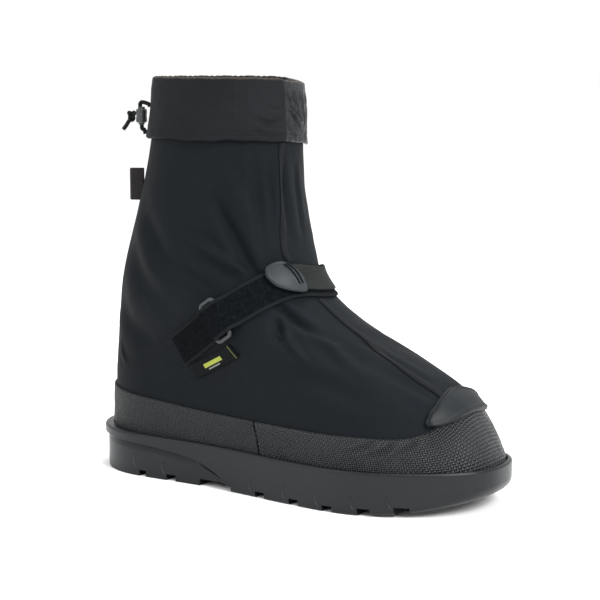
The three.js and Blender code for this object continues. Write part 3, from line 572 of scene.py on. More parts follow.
def boxes(name, spans):
    """Cutting solid made of separate boxes, each a low and a high corner."""
    points, faces = [], []
    for low, high in spans:
        first = len(points)
        ends = (low, high)
        for k, j, i in np.ndindex(2, 2, 2):
            points.append([ends[i][0], ends[j][1], ends[k][2]])
        sides = [(0, 2, 3, 1), (4, 5, 7, 6), (0, 1, 5, 4), (2, 6, 7, 3), (0, 4, 6, 2), (1, 3, 7, 5)]
        faces += [[first + corner for corner in side] for side in sides]
    mesh = bpy.data.meshes.new(name)
    mesh.from_pydata((np.array(points) * MM).tolist(), [], faces)
    return bpy.data.objects.new(name, mesh)


def carve(piece, cutter):
    """Takes a cutting solid out of a piece."""
    bpy.context.scene.collection.objects.link(cutter)
    cut = piece.modifiers.new("cut", "BOOLEAN")
    cut.operation = "DIFFERENCE"
    cut.solver = "EXACT"
    cut.object = cutter
    bpy.context.view_layer.update()
    shaped = piece.evaluated_get(bpy.context.evaluated_depsgraph_get())
    mesh = bpy.data.meshes.new_from_object(shaped)
    piece.modifiers.clear()
    piece.data = mesh
    bpy.data.objects.remove(cutter)


# Scallops: shallow crescents moulded low on the wall beside the cuts, as places along and levels
scallops = [(0.172, 11), (0.252, 9), (0.5, 8), (0.595, 8), (0.682, 8), (0.765, 9), (0.842, 12)]
scallop_radius, scallop_width = 6, 0.9


def crescent_group():
    """Part of a circle's edge on the sole's wall, widest where it faces the heel."""
    group, start, end = new_group("crescent", {"Along": "Float", "Level": "Float"}, {"Height": "Float"})
    place = put(group, "ShaderNodeTexCoord").outputs["Object"]
    apart = put(group, "ShaderNodeSeparateXYZ", {0: place})
    x = maths(group, "SUBTRACT", apart.outputs["X"], start.outputs["Along"])
    z = maths(group, "SUBTRACT", apart.outputs["Z"], start.outputs["Level"])
    square = maths(group, "ADD", maths(group, "MULTIPLY", x, x), maths(group, "MULTIPLY", z, z))
    from_edge = maths(group, "SUBTRACT", maths(group, "SQRT", square), scallop_radius * MM)
    share = maths(group, "DIVIDE", maths(group, "ABSOLUTE", from_edge), scallop_width * MM)
    ridge = maths(group, "MAXIMUM", maths(group, "SUBTRACT", 1.0, share), 0.0)
    sockets = {0: x, 1: -scallop_radius * MM, 2: -0.45 * scallop_radius * MM, 3: 1.0, 4: 0.0}
    facing = put(group, "ShaderNodeMapRange", sockets).outputs[0]
    group.links.new(maths(group, "MULTIPLY", ridge, facing), end.inputs["Height"])
    return group


crescent = crescent_group()


def sole_rubber():
    material, tree, shader, color = new_material(
        "sole_rubber", (0.004, 0.0052, 0.0062), (0.0075, 0.009, 0.0105), 9.0, 420.0, (0.28, 0.4), 0.22
    )
    arcs = None
    for share, level in scallops:
        sockets = {"Along": sole_x(share) * MM, "Level": level * MM}
        arc = put(tree, "ShaderNodeGroup", sockets, node_tree=crescent).outputs["Height"]
        arcs = arc if arcs is None else maths(tree, "MAXIMUM", arcs, arc)
    # Painted highlight: the crescent ridges are lightened towards pale grey in the base colour
    sockets = {0: maths(tree, "MULTIPLY", arcs, 0.5), 6: color.outputs["Color"], 7: (0.05, 0.055, 0.06, 1)}
    painted_highlight = put(tree, "ShaderNodeMix", sockets, data_type="RGBA")
    tree.links.new(painted_highlight.outputs[2], shader.inputs["Base Color"])
    layers = [(arcs, 1.4, 1.0), (noise(tree, 30.0), 0.5, 0.25), (noise(tree, 900.0, 2.0), 0.08, 0.5)]
    bump(tree, shader, layers)
    return material


def outsole():
    turns = np.linspace(0, 1, 520, endpoint=False)[:, None]
    _, rim, lift, bevel, flange = sole_rows(along_of(turns))
    rim, lift, bevel = rim * sole_rim, lift * toe_spring, bevel * toe_bevel
    out = welt_width + flange * heel_flange
    base, normal = outside(turns, tray_floor), outward(turns, tray_floor)
    length_share = ((base + normal * out[..., None])[..., 0] + heel_overhang) / sole_length
    set_back = heel_set_back * np.clip((0.425 - length_share) / 0.02, 0, 1)
    line = np.clip(step_line(length_share)[1] * sole_rim, lift + bevel + 1.2, rim - 6)
    rows = []
    for t in np.linspace(0, 1, 6):
        rows.append((np.minimum(out - bevel * (1 - t) ** 1.6, out - set_back), lift + bevel * t**1.6))
    for t in np.linspace(0, 1, 9)[1:-1]:
        rows.append((out - set_back, lift + bevel + (line - 0.6 - lift - bevel) * t))
    for share, rise in ((1.6, -0.4), (1.6, 0.5), (0.9, 0.6), (0.2, 0.75), (0.0, 1.1)):
        rows.append((out - set_back * share, line + rise))
    for t in np.linspace(0, 1, 11)[1:-1]:
        rows.append((out, line + 1.1 + (rim - rim_round - line - 1.1) * t))
    for angle in np.linspace(0, np.pi / 2, 6):
        edge = rim_round * (1 - np.cos(angle))
        rows.append((out - edge, rim - rim_round * (1 - np.sin(angle))))
    rows += [(tray_wall + 0 * out, rim), (tray_wall + 0 * out, tray_floor + 0 * out)]
    offsets = np.concatenate([np.broadcast_to(row[0], out.shape) for row in rows], 1)
    heights = np.concatenate([np.broadcast_to(row[1], out.shape) for row in rows], 1)
    points = base + normal * offsets[..., None]
    points[..., 2] = heights
    piece = add_loft("outsole_rubber", points, sole_rubber())
    middle = np.array([sole_x(share) for share, _, _ in tread_cuts])
    half = np.array([width * sole_length / 2 for _, width, _ in tread_cuts])
    lifts = sole_rows(np.array([share for share, _, _ in tread_cuts]))[2] * toe_spring
    tops = lifts + np.array([depth * tread_depth for _, _, depth in tread_cuts])
    cross = [((m - h, -ball_width, -9), (m + h, ball_width, top)) for m, h, top in zip(middle, half, tops)]
    carve(piece, boxes("cross_cuts", cross))
    slots = []
    for side in (-1, 1):
        y = side * (tread_block + tread_slot) / 2
        low = (sole_x(0.06), y - tread_slot / 2, -9)
        slots.append((low, (sole_x(0.86), y + tread_slot / 2, 0.8 * tread_depth)))
    carve(piece, boxes("long_slots", slots))
    piece.data.set_sharp_from_angle(angle=math.radians(35))
    finish_piece(piece, "sole_rubber", "outsole")


def add_loft(name, points, material, smooth_angle=35):
    """Closed piece through loops of points, turns by levels, with both end loops filled across."""
    count, levels = points.shape[:2]
    i, j = (grid.ravel() for grid in np.meshgrid(range(count), range(levels - 1), indexing="ij"))
    after = (i + 1) % count
    quads = np.stack([i * levels + j, after * levels + j, after * levels + j + 1, i * levels + j + 1], -1)
    faces = quads.tolist()
    for first in range(count // 2):
        strip = [first, first + 1, count - first - 1, (count - first) % count]
        strip = list(dict.fromkeys(strip))
        faces.append([corner * levels + levels - 1 for corner in strip])
        faces.append([corner * levels for corner in reversed(strip)])
    corners = sum(len(face) for face in faces)
    return add_mesh(name, points, faces, [np.zeros((corners, 2))], material, smooth_angle)


outsole()

# Insole: a flat footbed of felted foam, cut to the inside of the upper. It lies loose in the outsole's
# tray and is seen down through the collar.
insole_thickness = 4


def insole():
    material, tree, shader, _ = new_material(
        "insole_felt", (0.012, 0.011, 0.0105), (0.03, 0.028, 0.026), 30.0
    )
    bump(tree, shader, [(noise(tree, 700.0, 4.0), 0.3, 0.7)])
    turns = np.linspace(0, 1, 200, endpoint=False)[:, None]
    edge = np.array([[0.6, 0.0, 0.0, 0.0, 0.15, 0.6]])
    levels = np.array([[0.0, 0.4, 2.0, 3.2, 3.75, 4.0]]) / 4 * insole_thickness
    inside = -upper_wall - seat_gap - edge
    points = surface(turns, tray_floor + insole_thickness, 0) + outward(
        turns, tray_floor + insole_thickness
    ) * (inside[..., None])
    points[..., 2] = tray_floor + seat_gap + levels
    finish_piece(add_loft("insole_felt", points, material), "footbed", "insole")


insole()

# Foxing: a rubberised fabric with a coarse woven face, bonded round the lower edge of the upper in two
# lengths that meet in a cut seam on each side; the heel's length and the toe's.
def foxing_material(name, pitch, shine):
    material, tree, shader, color = new_material(
        name, (0.0014, 0.002, 0.003), (0.006, 0.007, 0.0085), 60.0, 1500.0, shine, 0.22
    )
    coarse = threads(tree, pitch)
    # Painted highlight: the tips of the coarse weave are lightened in the base colour, as glints
    tips = put(tree, "ShaderNodeMapRange", {0: coarse, 1: 0.8, 2: 1.0, 3: 0.0, 4: 0.7}).outputs[0]
    sockets = {0: tips, 6: color.outputs["Color"], 7: (0.05, 0.053, 0.056, 1)}
    painted_highlight = put(tree, "ShaderNodeMix", sockets, data_type="RGBA")
    tree.links.new(painted_highlight.outputs[2], shader.inputs["Base Color"])
    layers = [(noise(tree, 45.0, 4.0), 1.2, 0.35), (coarse, 0.7 * pitch, 1.0)]
    bump(tree, shader, [*layers, (noise(tree, 2200.0, 2.0), 0.12, 0.7)])
    return material


# Creases across the forefoot where the toe bends
toe_creases = [
    ([(0.335, 42), (0.352, 47), (0.366, 53)], -0.7, 1.6),
    ([(0.352, 40), (0.368, 45), (0.384, 52)], -0.8, 1.8),
    ([(0.374, 42), (0.392, 48), (0.410, 55)], -0.6, 1.6),
    ([(0.640, 42), (0.625, 47), (0.610, 53)], -0.7, 1.8),
]


def foxing(name, first, last, material, node):
    turns = np.linspace(first, last, 300)[:, None]
    bottom = tray_floor + seat_gap
    share = np.linspace(0, 1, 44)[None, :]
    top = band_top(turns)
    heights = bottom + (top - bottom) * share
    # The cut ends are a little ragged
    from_end = np.minimum(turns - first, last - turns)
    cut = 0.0006 * np.exp(-from_end / 0.004) * np.sign((first + last) / 2 - turns)
    turns = turns + cut * (1 + 0.7 * np.sin(1.9 * heights) + 0.5 * np.sin(4.3 * heights))
    points = surface(turns, heights)
    below_top = top - heights
    rise = seat_gap + foxing_wall - 0.8 * np.exp(-((below_top / 0.5) ** 2))
    rise = rise + 0.12 * ripple(points, 9, 11)
    for path, depth, half_width in toe_creases:
        rise = rise + crease(points, path, depth, half_width)
    inner = heights[:, ::-4]
    face = surface(turns, heights, np.minimum(np.maximum(rise, 0.7), seat_gap + foxing_wall + 0.25))
    back = surface(turns[:, ::-4], inner, np.full(inner.shape, 0.45))
    piece = add_skin(name, np.concatenate([face, back], 1), material, closed_turn=False)
    finish_piece(piece, "foxing_cloth", node)


side_band = foxing_material("side_band", 1.3, (0.42, 0.55))
toe_band = foxing_material("toe_band", 1.7, (0.3, 0.44))
foxing("foxing_heel_band", -0.25, 0.25, side_band, "foxing_rear")
foxing("foxing_toe_band", 0.2504, 0.7496, toe_band, "foxing_toe")

# Toe patch: a smooth moulded rubber shield bonded over the band at the tip of the toe. It has a thick
# bevelled lip at the bottom and a thin raised line inside its upper edge.
# Turn from the middle of the toe, and the shield's lower and upper edge as shares of the instep height
shield_edge = smooth_rows(
    [
        (0.0, 0.433, 0.536),
        (0.011, 0.431, 0.532),
        (0.024, 0.427, 0.523),
        (0.044, 0.413, 0.503),
        (0.0577, 0.404, 0.48),
        (0.0675, 0.4, 0.463),
        (0.08, 0.403, 0.423),
    ]
)
# Thickness at shares of the way up the shield
shield_thickness = smooth_rows([(0, 1.3), (0.08, 2.6), (0.14, 3), (0.3, 2.2), (0.65, 1.8), (1, 1.2)])


def smooth_rubber(name, dark, light, rough):
    material, tree, shader, _ = new_material(name, dark, light, 20.0, 1100.0, rough, 0.16)
    bump(tree, shader, [(noise(tree, 60.0), 0.3, 0.2), (noise(tree, 1400.0, 2.0), 0.05, 0.5)])
    return material


def toe_patch():
    turns = 0.5 + 0.08 * np.linspace(-1, 1, 180)[:, None]
    _, low, high = shield_edge(np.abs(turns - 0.5))
    share = np.linspace(0, 1, 90)[None, :]
    heights = instep_height * (low + (high - low) * share)
    points = surface(turns, heights)
    run = np.cumsum(np.linalg.norm(np.diff(points, axis=1, prepend=points[:, :1]), axis=-1), axis=1)
    side = np.cumsum(np.linalg.norm(np.diff(points, axis=0, prepend=points[:1]), axis=-1), axis=0)
    from_side = np.minimum(side, side[-1:] - side)
    from_edge = np.minimum(run[:, -1:] - run, from_side)
    thickness = np.broadcast_to(shield_thickness(share)[1], heights.shape)
    rise = thickness + 0.8 * np.exp(-(((from_edge - 2.6) / 0.5) ** 2))
    rise = rise - 0.5 * np.exp(-(((from_edge - 1.4) / 0.4) ** 2))
    rise = rise - 0.8 * np.exp(-((np.minimum(from_edge, run) / 0.45) ** 2))
    face = surface(turns, heights, tray_wall + rise)
    back = surface(turns, heights[:, ::-6], np.full(heights[:, ::-6].shape, tray_wall))
    material = smooth_rubber("toe_rubber", (0.0058, 0.0075, 0.0088), (0.0092, 0.0112, 0.0128), (0.42, 0.54))
    piece = add_skin("toe_patch_rubber", np.concatenate([face, back], 1), material, closed_turn=False)
    finish_piece(piece, "patch_rubber", "toe_patch")


toe_patch()

# Cuff: ripstop nylon turned down over the rim, with a stitched hem and the drawcord's channel. Its front
# is a thinner, glossier gusset that gathers when the cord is pulled.
cuff_wall, cuff_flare, cuff_turn_in, gusset_wall = 2.2, 1.7, 11, 1.5
gusset_from, gusset_to = 0.471, 0.68
# Distance from the hem up the outside to a painted light along the rim: a brownish line, as light glowing
# through the cloth
rim_line = 46
# Creases where the cord gathers the front, as turns and heights
cuff_creases = [
    ([(0.395, 264), (0.430, 260), (0.470, 265)], -1.4, 2.0),
    ([(0.400, 258), (0.440, 254), (0.470, 257)], 0.8, 1.8),
    ([(0.425, 272), (0.450, 270), (0.470, 274)], -0.6, 1.6),
    ([(0.474, 286), (0.490, 274), (0.512, 266)], -1.9, 1.5),
    ([(0.476, 276), (0.500, 264), (0.520, 254)], -1.9, 1.4),
    ([(0.500, 286), (0.515, 272), (0.526, 262)], 1.5, 1.3),
    ([(0.476, 266), (0.492, 258), (0.505, 251)], 1.4, 1.3),
    ([(0.535, 286), (0.530, 270), (0.548, 256)], -1.7, 1.6),
    ([(0.560, 284), (0.572, 270), (0.565, 254)], 0.8, 1.6),
    ([(0.600, 285), (0.590, 271), (0.604, 255)], -1.7, 1.6),
    ([(0.640, 284), (0.652, 268), (0.645, 254)], -1.6, 1.7),
    ([(0.200, 268), (0.260, 262), (0.320, 268)], -0.4, 5.0),
    ([(0.760, 266), (0.820, 261), (0.880, 266)], -0.5, 5.0),
]


def stitch_group():
    """A row of stitches along the cloth's own map: Place is its distance across, in metres."""
    inputs = {"Place": "Float", "Pitch": "Float", "Thread": "Float"}
    group, start, end = new_group("stitch_row", inputs, {"Mask": "Float"})
    cloth = put(group, "ShaderNodeUVMap", uv_map="cloth")
    apart = put(group, "ShaderNodeSeparateXYZ", {0: cloth.outputs[0]})
    turn = maths(group, "FRACT", maths(group, "DIVIDE", apart.outputs["X"], start.outputs["Pitch"]))
    from_middle = maths(group, "ABSOLUTE", maths(group, "SUBTRACT", turn, 0.5))
    dash = put(group, "ShaderNodeMapRange", {0: from_middle, 1: 0.34, 2: 0.42, 3: 1.0, 4: 0.0}).outputs[0]
    aside = maths(group, "ABSOLUTE", maths(group, "SUBTRACT", apart.outputs["Y"], start.outputs["Place"]))
    share = maths(group, "DIVIDE", aside, start.outputs["Thread"])
    line = put(group, "ShaderNodeMapRange", {0: share, 1: 0.4, 2: 1.0, 3: 1.0, 4: 0.0}).outputs[0]
    group.links.new(maths(group, "MULTIPLY", dash, line), end.inputs["Mask"])
    return group


stitch_row = stitch_group()


def stitches(tree, place, pitch=2.6, thread=0.35):
    sockets = {"Place": place * MM, "Pitch": pitch * MM, "Thread": thread * MM}
    return put(tree, "ShaderNodeGroup", sockets, node_tree=stitch_row).outputs["Mask"]


def ripstop_group():
    """Grid of thicker threads every few millimetres of the cloth's own map."""
    group, start, end = new_group("ripstop", {"Every": "Float", "Thread": "Float"}, {"Height": "Float"})
    cloth = put(group, "ShaderNodeUVMap", uv_map="cloth")
    apart = put(group, "ShaderNodeSeparateXYZ", {0: cloth.outputs[0]})
    lines = []
    for axis in ("X", "Y"):
        turn = maths(group, "FRACT", maths(group, "DIVIDE", apart.outputs[axis], start.outputs["Every"]))
        from_middle = maths(group, "ABSOLUTE", maths(group, "SUBTRACT", turn, 0.5))
        inside = maths(group, "SUBTRACT", 1.0, maths(group, "DIVIDE", from_middle, start.outputs["Thread"]))
        lines.append(maths(group, "MAXIMUM", inside, 0.0))
    group.links.new(maths(group, "MAXIMUM", lines[0], lines[1]), end.inputs["Height"])
    return group


ripstop = ripstop_group()


def cuff_material(name, dark, light, rough, gloss, crumple):
    material, tree, shader, color = new_material(name, dark, light, 25.0, 1200.0, rough, gloss)
    cloth = put(tree, "ShaderNodeUVMap", uv_map="cloth")
    across = put(tree, "ShaderNodeSeparateXYZ", {0: cloth.outputs[0]}).outputs["Y"]
    # Painted light: a brownish line along the rim, as light glowing through the thin cloth
    from_rim = maths(tree, "ABSOLUTE", maths(tree, "SUBTRACT", across, rim_line * MM))
    rim = put(tree, "ShaderNodeMapRange", {0: from_rim, 1: 1.6 * MM, 2: 2.6 * MM, 3: 0.6, 4: 0.0})
    sockets = {0: rim.outputs[0], 6: color.outputs["Color"], 7: (0.05, 0.038, 0.028, 1)}
    painted_backlit_rim = put(tree, "ShaderNodeMix", sockets, data_type="RGBA")
    tree.links.new(painted_backlit_rim.outputs[2], shader.inputs["Base Color"])
    grid = put(tree, "ShaderNodeGroup", {"Every": 4.5 * MM, "Thread": 0.09}, node_tree=ripstop)
    layers = [(noise(tree, 70.0, 4.0), crumple, 0.6), (threads(tree, 0.5), 0.1, 0.6)]
    layers += [(grid.outputs["Height"], 0.18, 0.8), (stitches(tree, 5.0), 0.35, 0.9)]
    bump(tree, shader, layers)
    return material


def turned_collar(name, first, last, wall, gather, material, slot, node):
    """Cloth over the rim: up the outside from the hem, round the top and down inside the collar."""
    turns = np.linspace(first, last, 260)[:, None]
    lining = -upper_wall - seat_gap
    # For the under and the outer face: share of the way round, drop below the rim, offset from the last
    under = [
        (0, cuff_drop, seat_gap + cuff_flare),
        (1, cuff_drop / 2, seat_gap + cuff_flare / 2),
        (2, -seat_gap, seat_gap),
        (2.5, -seat_gap, -upper_wall / 2),
        (3, -seat_gap, lining),
        (4, cuff_turn_in, lining),
    ]
    over = [
        (0, cuff_drop, seat_gap + cuff_flare + wall),
        (1, cuff_drop / 2, seat_gap + cuff_flare / 2 + wall),
        (1.85, 1.2, seat_gap + 0.95 * wall),
        (2.1, -seat_gap - 0.3 * wall, seat_gap + 0.7 * wall),
        (2.5, -seat_gap - 0.8 * wall, -upper_wall / 2),
        (2.9, -seat_gap - 0.35 * wall, lining - 0.4 * wall),
        (3.2, 1.5, lining - 0.5 * wall),
        (4, cuff_turn_in, lining - 0.5 * wall),
    ]
    stretches = ((0, 1.8, 60), (1.82, 3.3, 40), (3.4, 4, 8))
    out_share = np.concatenate([np.linspace(*stretch) for stretch in stretches])
    _, out_drop, out_offset = (row[None, :] for row in smooth_rows(over)(out_share))
    _, in_drop, in_offset = (row[None, :] for row in smooth_rows(under)(np.linspace(4, 0, 30)))
    wave = 0.45 * np.sin(turns * 41) + 0.3 * np.sin(turns * 97)
    frayed = 0.3 * np.abs(np.sin(turns * 160) + np.sin(turns * 263)) * (out_drop < 3)
    heights = rim_at(turns) - out_drop + wave * np.clip(out_drop / cuff_drop, 0, 1) ** 2 - frayed
    points = surface(turns, heights)
    swell = 0.28 * ripple(points, 34, 21) + 0.12 * ripple(points, 12, 23)
    pleats = gather * (ripple(points * [1, 1, 0.35], 9, 31) + 0.8 * ripple(points * [1, 1, 0.5], 5, 33))
    hem = 0.35 * np.exp(-(((out_drop - cuff_drop + 6.2) / 0.8) ** 2))
    free = np.clip(out_drop / 6, 0, 1) * np.clip((1.8 - out_share[None, :]) / 0.3, 0, 1)
    rounding = 0.5 * wall * np.exp(-(((out_drop - cuff_drop) / 0.45) ** 2)) * (out_share[None, :] < 1)
    for path, depth, half_width in cuff_creases:
        swell = swell + crease(points, path, depth, half_width)
    outer = out_offset + free * (swell - pleats - hem) - rounding
    inner = np.broadcast_to(in_offset, (len(turns), in_offset.shape[1]))
    face = surface(turns, heights, np.minimum(outer, out_offset + 0.8))
    in_heights = rim_at(turns) - in_drop + wave * np.clip(in_drop / cuff_drop, 0, 1) ** 2 * (inner > 0)
    back = surface(turns, in_heights, inner)
    piece = add_skin(name, np.concatenate([face, back], 1), material, closed_turn=False)
    finish_piece(piece, slot, node)


turned_collar(
    "cuff_ripstop",
    gusset_to - 1,
    gusset_from,
    cuff_wall,
    0.0,
    cuff_material("cuff_cloth", (0.0038, 0.0046, 0.0056), (0.0072, 0.0083, 0.0098), (0.58, 0.72), 0.1, 1.2),
    "cuff_cloth",
    "cuff",
)
turned_collar(
    "cuff_front_gusset",
    gusset_from + 0.002,
    gusset_to - 0.002,
    gusset_wall,
    0.3,
    cuff_material("gusset_cloth", (0.002, 0.0027, 0.0035), (0.007, 0.0082, 0.0095), (0.26, 0.4), 0.22, 5.0),
    "gusset_cloth",
    "cuff_gusset",
)

# Flap binding: a folded tape sewn over the raw edge of the closing flap, in one length above the strap
# and one below it.
binding_width, binding_thickness = 5, 1.2
# Share of the rim's height, and how far out the flap's edge runs as a share of half the collar's width
flap_edge = smooth_rows(
    [
        (0.275, 0.22),
        (0.302, 0.28),
        (0.326, 0.29),
        (0.364, 0.21),
        (0.395, 0.12),
        (0.45, 0.11),
        (0.481, 0.16),
        (0.533, 0.3),
        (0.56, 0.38),
        (0.591, 0.43),
        (0.711, 0.3),
        (0.842, 0.26),
    ]
)


def flap_turn(heights):
    """Turn at which the flap's edge runs at each height."""
    y = -flap_edge(heights / rim_height)[1] * collar_width / 2
    low, high = np.full(heights.shape, 0.3), np.full(heights.shape, 0.5)
    for _ in range(24):
        middle = (low + high) / 2
        below = outside(middle, heights)[..., 1] < y
        low, high = np.where(below, middle, low), np.where(below, high, middle)
    return low


def binding_tape():
    material, tree, shader, _ = new_material(
        "binding_tape", (0.0045, 0.0056, 0.0068), (0.008, 0.0094, 0.0108)
    )
    layers = [(threads(tree, 0.7), 0.16, 0.8), (stitches(tree, 0.9, 2.4, 0.3), 0.4, 1.0)]
    bump(tree, shader, layers)
    return material


def binding(name, low, high, material, node):
    heights = np.linspace(low, high, 150)
    turns = flap_turn(heights)
    middle = outside(turns, heights)
    across = unit(np.cross(outward(turns, heights), np.gradient(middle, axis=0)))
    small_turn, small_height = 0.001, 0.5
    by_turn = (outside(turns + small_turn, heights) - middle) / small_turn
    by_height = (outside(turns, heights + small_height) - middle) / small_height
    slopes = np.stack([by_turn, by_height], -1)
    ways = np.einsum("kij,kj->ki", np.linalg.pinv(slopes), across)
    places = np.linspace(-1, 1, 13)
    levels = places * binding_width / 2
    across_turns = turns[:, None] + ways[:, :1] * levels[None, :]
    across_heights = heights[:, None] + ways[:, 1:] * levels[None, :]
    seat = cloth_rise(across_turns, across_heights) + seat_gap
    edge = 1 - np.abs(places) ** 6
    top = seat + binding_thickness * (0.35 + 0.65 * edge)[None, :]
    face = surface(across_turns, across_heights, top)
    back = surface(across_turns, across_heights, seat)[:, ::-1]
    points = np.concatenate([face, back], 1)
    piece = add_skin(name, points, material, False, np.concatenate([levels, levels[::-1]]))
    finish_piece(piece, "binding_tape", node)


def flap_meets(level):
    """Height at which the flap's edge crosses a level of the strap."""
    heights = np.linspace(80, 249, 800)
    turns = flap_turn(heights)
    return heights[np.argmin(np.abs(above_strap(turns, outside(turns, heights)) - level))]


tape = binding_tape()
shield_top = shield_edge(np.array(0.0))[2] * instep_height
hem_height = rim_height - cuff_drop - rim_dip / 2
binding("flap_binding_upper", flap_meets(strap_width / 2 + 2), hem_height, tape, "flap_binding_shaft")
binding("flap_binding_lower", shield_top - 3, flap_meets(-strap_width / 2 - 2), tape, "flap_binding_vamp")

# Instep strap: a looped pile tape with bound edges. It is folded round the outer ring, crosses the
# instep and ends under the webbing; a short anchor of the same tape holds each ring.
strap_thickness, return_width = 1.4, 20
anchor_length = 46
ring_across, ring_along, ring_bar, ring_corner, ring_turn, ring_lift = 32.5, 15, 3, 2.5, 0.2845, 3.6
bar_out = (ring_along - ring_bar) / 2
around_bar = ring_bar / 2 + seat_gap + strap_thickness
second_layer = lift_off + strap_thickness + seat_gap


def strap_point(turn, above, offset=0.0):
    """Point over the cloth, a distance above the middle of the strap."""
    turn, above = np.broadcast_arrays(np.asarray(turn, float), np.asarray(above, float))
    low, high = np.full(turn.shape, float(tray_floor)), np.full(turn.shape, float(rim_height))
    for _ in range(26):
        middle = (low + high) / 2
        below = above_strap(turn, outside(turn, middle)) < above
        low, high = np.where(below, middle, low), np.where(below, high, middle)
    return surface(turn, low, offset)


strap_turns = np.linspace(0.08, 0.92, 900)
strap_line = strap_point(strap_turns, 0.0)
strap_run = np.cumsum(np.linalg.norm(np.diff(strap_line, axis=0, prepend=strap_line[:1]), axis=-1))


def strap_turn(start, distance):
    """Turn that lies a distance along the strap from another."""
    run = np.interp(start, strap_turns, strap_run) + distance
    return np.interp(run, strap_run, strap_turns)


def ribbon(name, turns, offsets, low, high, material, thickness=strap_thickness, bound=0.0):
    """Tape along the strap through turns and offsets of its middle, between two levels across it."""
    levels = np.linspace(low, high, 25)
    middle = strap_point(turns[:, None], levels[None, :], offsets[:, None])
    normal = unit(np.cross(np.gradient(middle, axis=0), np.gradient(middle, axis=1)))
    from_edge = np.minimum(levels - low, high - levels)
    half = thickness / 2 * (0.45 + 0.55 * np.clip(from_edge / 0.9, 0, 1) ** 0.5)
    half = half + bound * np.clip((2.6 - from_edge) / 0.5, 0, 1) * np.clip(from_edge / 0.5, 0, 1)
    face = middle + normal * half[None, :, None]
    back = (middle - normal * half[None, :, None])[:, ::-1]
    across = levels - (low + high) / 2
    points = np.concatenate([face, back], 1)
    return add_skin(name, points, material, False, np.concatenate([across, across[::-1]]))


def edge_mask(tree, half_width, edge):
    """1 within a distance of either edge of a tape whose map's second axis runs across it."""
    cloth = put(tree, "ShaderNodeUVMap", uv_map="cloth")
    across = put(tree, "ShaderNodeSeparateXYZ", {0: cloth.outputs[0]}).outputs["Y"]
    aside = maths(tree, "ABSOLUTE", across)
    sockets = {0: aside, 1: (half_width - edge) * MM, 2: (half_width - edge + 0.3) * MM}
    return put(tree, "ShaderNodeMapRange", sockets).outputs[0]


def pile_tape():
    material, tree, shader, color = new_material(
        "pile_tape", (0.0008, 0.0011, 0.0014), (0.0055, 0.007, 0.0085), 500.0, 1700.0, (0.75, 0.9), 0.03
    )
    bound = edge_mask(tree, strap_width / 2, 2.4)
    sockets = {0: bound, 6: color.outputs["Color"], 7: (0.0135, 0.0155, 0.017, 1)}
    edged = put(tree, "ShaderNodeMix", sockets, data_type="RGBA")
    tree.links.new(edged.outputs[2], shader.inputs["Base Color"])
    loops = put(tree, "ShaderNodeMix", {0: bound, 2: noise(tree, 1300.0, 2.0), 3: threads(tree, 0.6)})
    bump(tree, shader, [(loops.outputs[0], 0.6, 0.9), (threads(tree, 1.3), 0.2, 0.5)])
    return material


pile = pile_tape()


def turn_round_ring():
    """A tape's path from under a ring's far bar, over both bars and down: distances and offsets."""
    path = [(-1.5, 1.5), (-5.5, 1.5), (-8.0, 2.3), (-8.7, 4.0), (-7.8, 5.9), (-5.5, 6.5)]
    path += [(0, 6.5), (5.5, 6.4), (8.5, 5.6), (10.8, 3.7), (13.0, 2.2), (15.6, 1.5)]
    share = np.linspace(0, len(path) - 1, 90)
    smooth = smooth_rows([(k, *point) for k, point in enumerate(path)])(share)
    return strap_turn(ring_turn, smooth[1]), smooth[2]


def anchor(name, mirrored, node):
    distances = np.linspace(-anchor_length, -bar_out - around_bar - seat_gap, 60)
    turns = strap_turn(ring_turn, distances)
    turns = 1 - turns[::-1] if mirrored else turns
    middle = np.full(turns.shape, lift_off + strap_thickness / 2)
    piece = ribbon(name, turns, middle, -strap_width / 2, strap_width / 2, pile, bound=0.15)
    finish_piece(piece, "pile_tape", node)


anchor("anchor_outer_tape", False, "strap_anchor_outer")
anchor("anchor_inner_tape", True, "strap_anchor_inner")


def pile_strap():
    turns, offsets = turn_round_ring()
    flat = np.linspace(turns[-1], 1 - turns[-1], 320)[1:]
    turns = np.concatenate([turns, flat])
    offsets = np.concatenate([offsets, np.full(flat.shape, lift_off + strap_thickness / 2)])
    piece = ribbon("strap_pile_tape", turns, offsets, -strap_width / 2, strap_width / 2, pile, bound=0.15)
    finish_piece(piece, "pile_tape", "instep_strap")


pile_strap()

# Strap rings: moulded plastic frames with squared bars, one at each end of the strap. The strap's tape
# or the webbing is turned round the bar on the anchor's side and lies over both bars.


def rounded_path(half_x, half_y, corner, count=120):
    """Closed path of a rectangle with round corners, and the direction out of it."""
    points, ways = [], []
    for x, y, start in ((1, -1, -90), (1, 1, 0), (-1, 1, 90), (-1, -1, 180)):
        for angle in np.radians(start + np.linspace(0, 90, count // 4)):
            way = np.array([math.cos(angle), math.sin(angle)])
            points.append(np.array([x * (half_x - corner), y * (half_y - corner)]) + corner * way)
            ways.append(way)
    return np.array(points), np.array(ways)


def strap_frame(turn, offset):
    """Origin and axes on the strap at a turn: along it, across it and off the cloth."""
    along = unit(strap_point(turn + 0.002, 0.0) - strap_point(turn - 0.002, 0.0))
    off = strap_point(turn, 0.0, 1.0) - strap_point(turn, 0.0, 0.0)
    across = unit(np.cross(off, along))
    return strap_point(turn, 0.0, offset), along, across, np.cross(along, across)


def ring(name, turn, material, node):
    origin, along, across, off = strap_frame(turn, ring_lift)
    half = ring_bar / 2
    path, way = rounded_path(ring_along / 2 - half, ring_across / 2 - half, ring_corner)
    around = np.linspace(0, 2 * np.pi, 20, endpoint=False)
    swell = (np.abs(np.cos(around)) ** 3 + np.abs(np.sin(around)) ** 3) ** (-1 / 3)
    out = (half * np.cos(around) * swell)[None, :, None] * way[:, None, :]
    flat = path[:, None, :] + out
    rise = half * np.sin(around) * swell
    points = origin + flat[..., :1] * along + flat[..., 1:] * across + rise[None, :, None] * off
    finish_piece(add_skin(name, points, material), "ring_plastic", node)


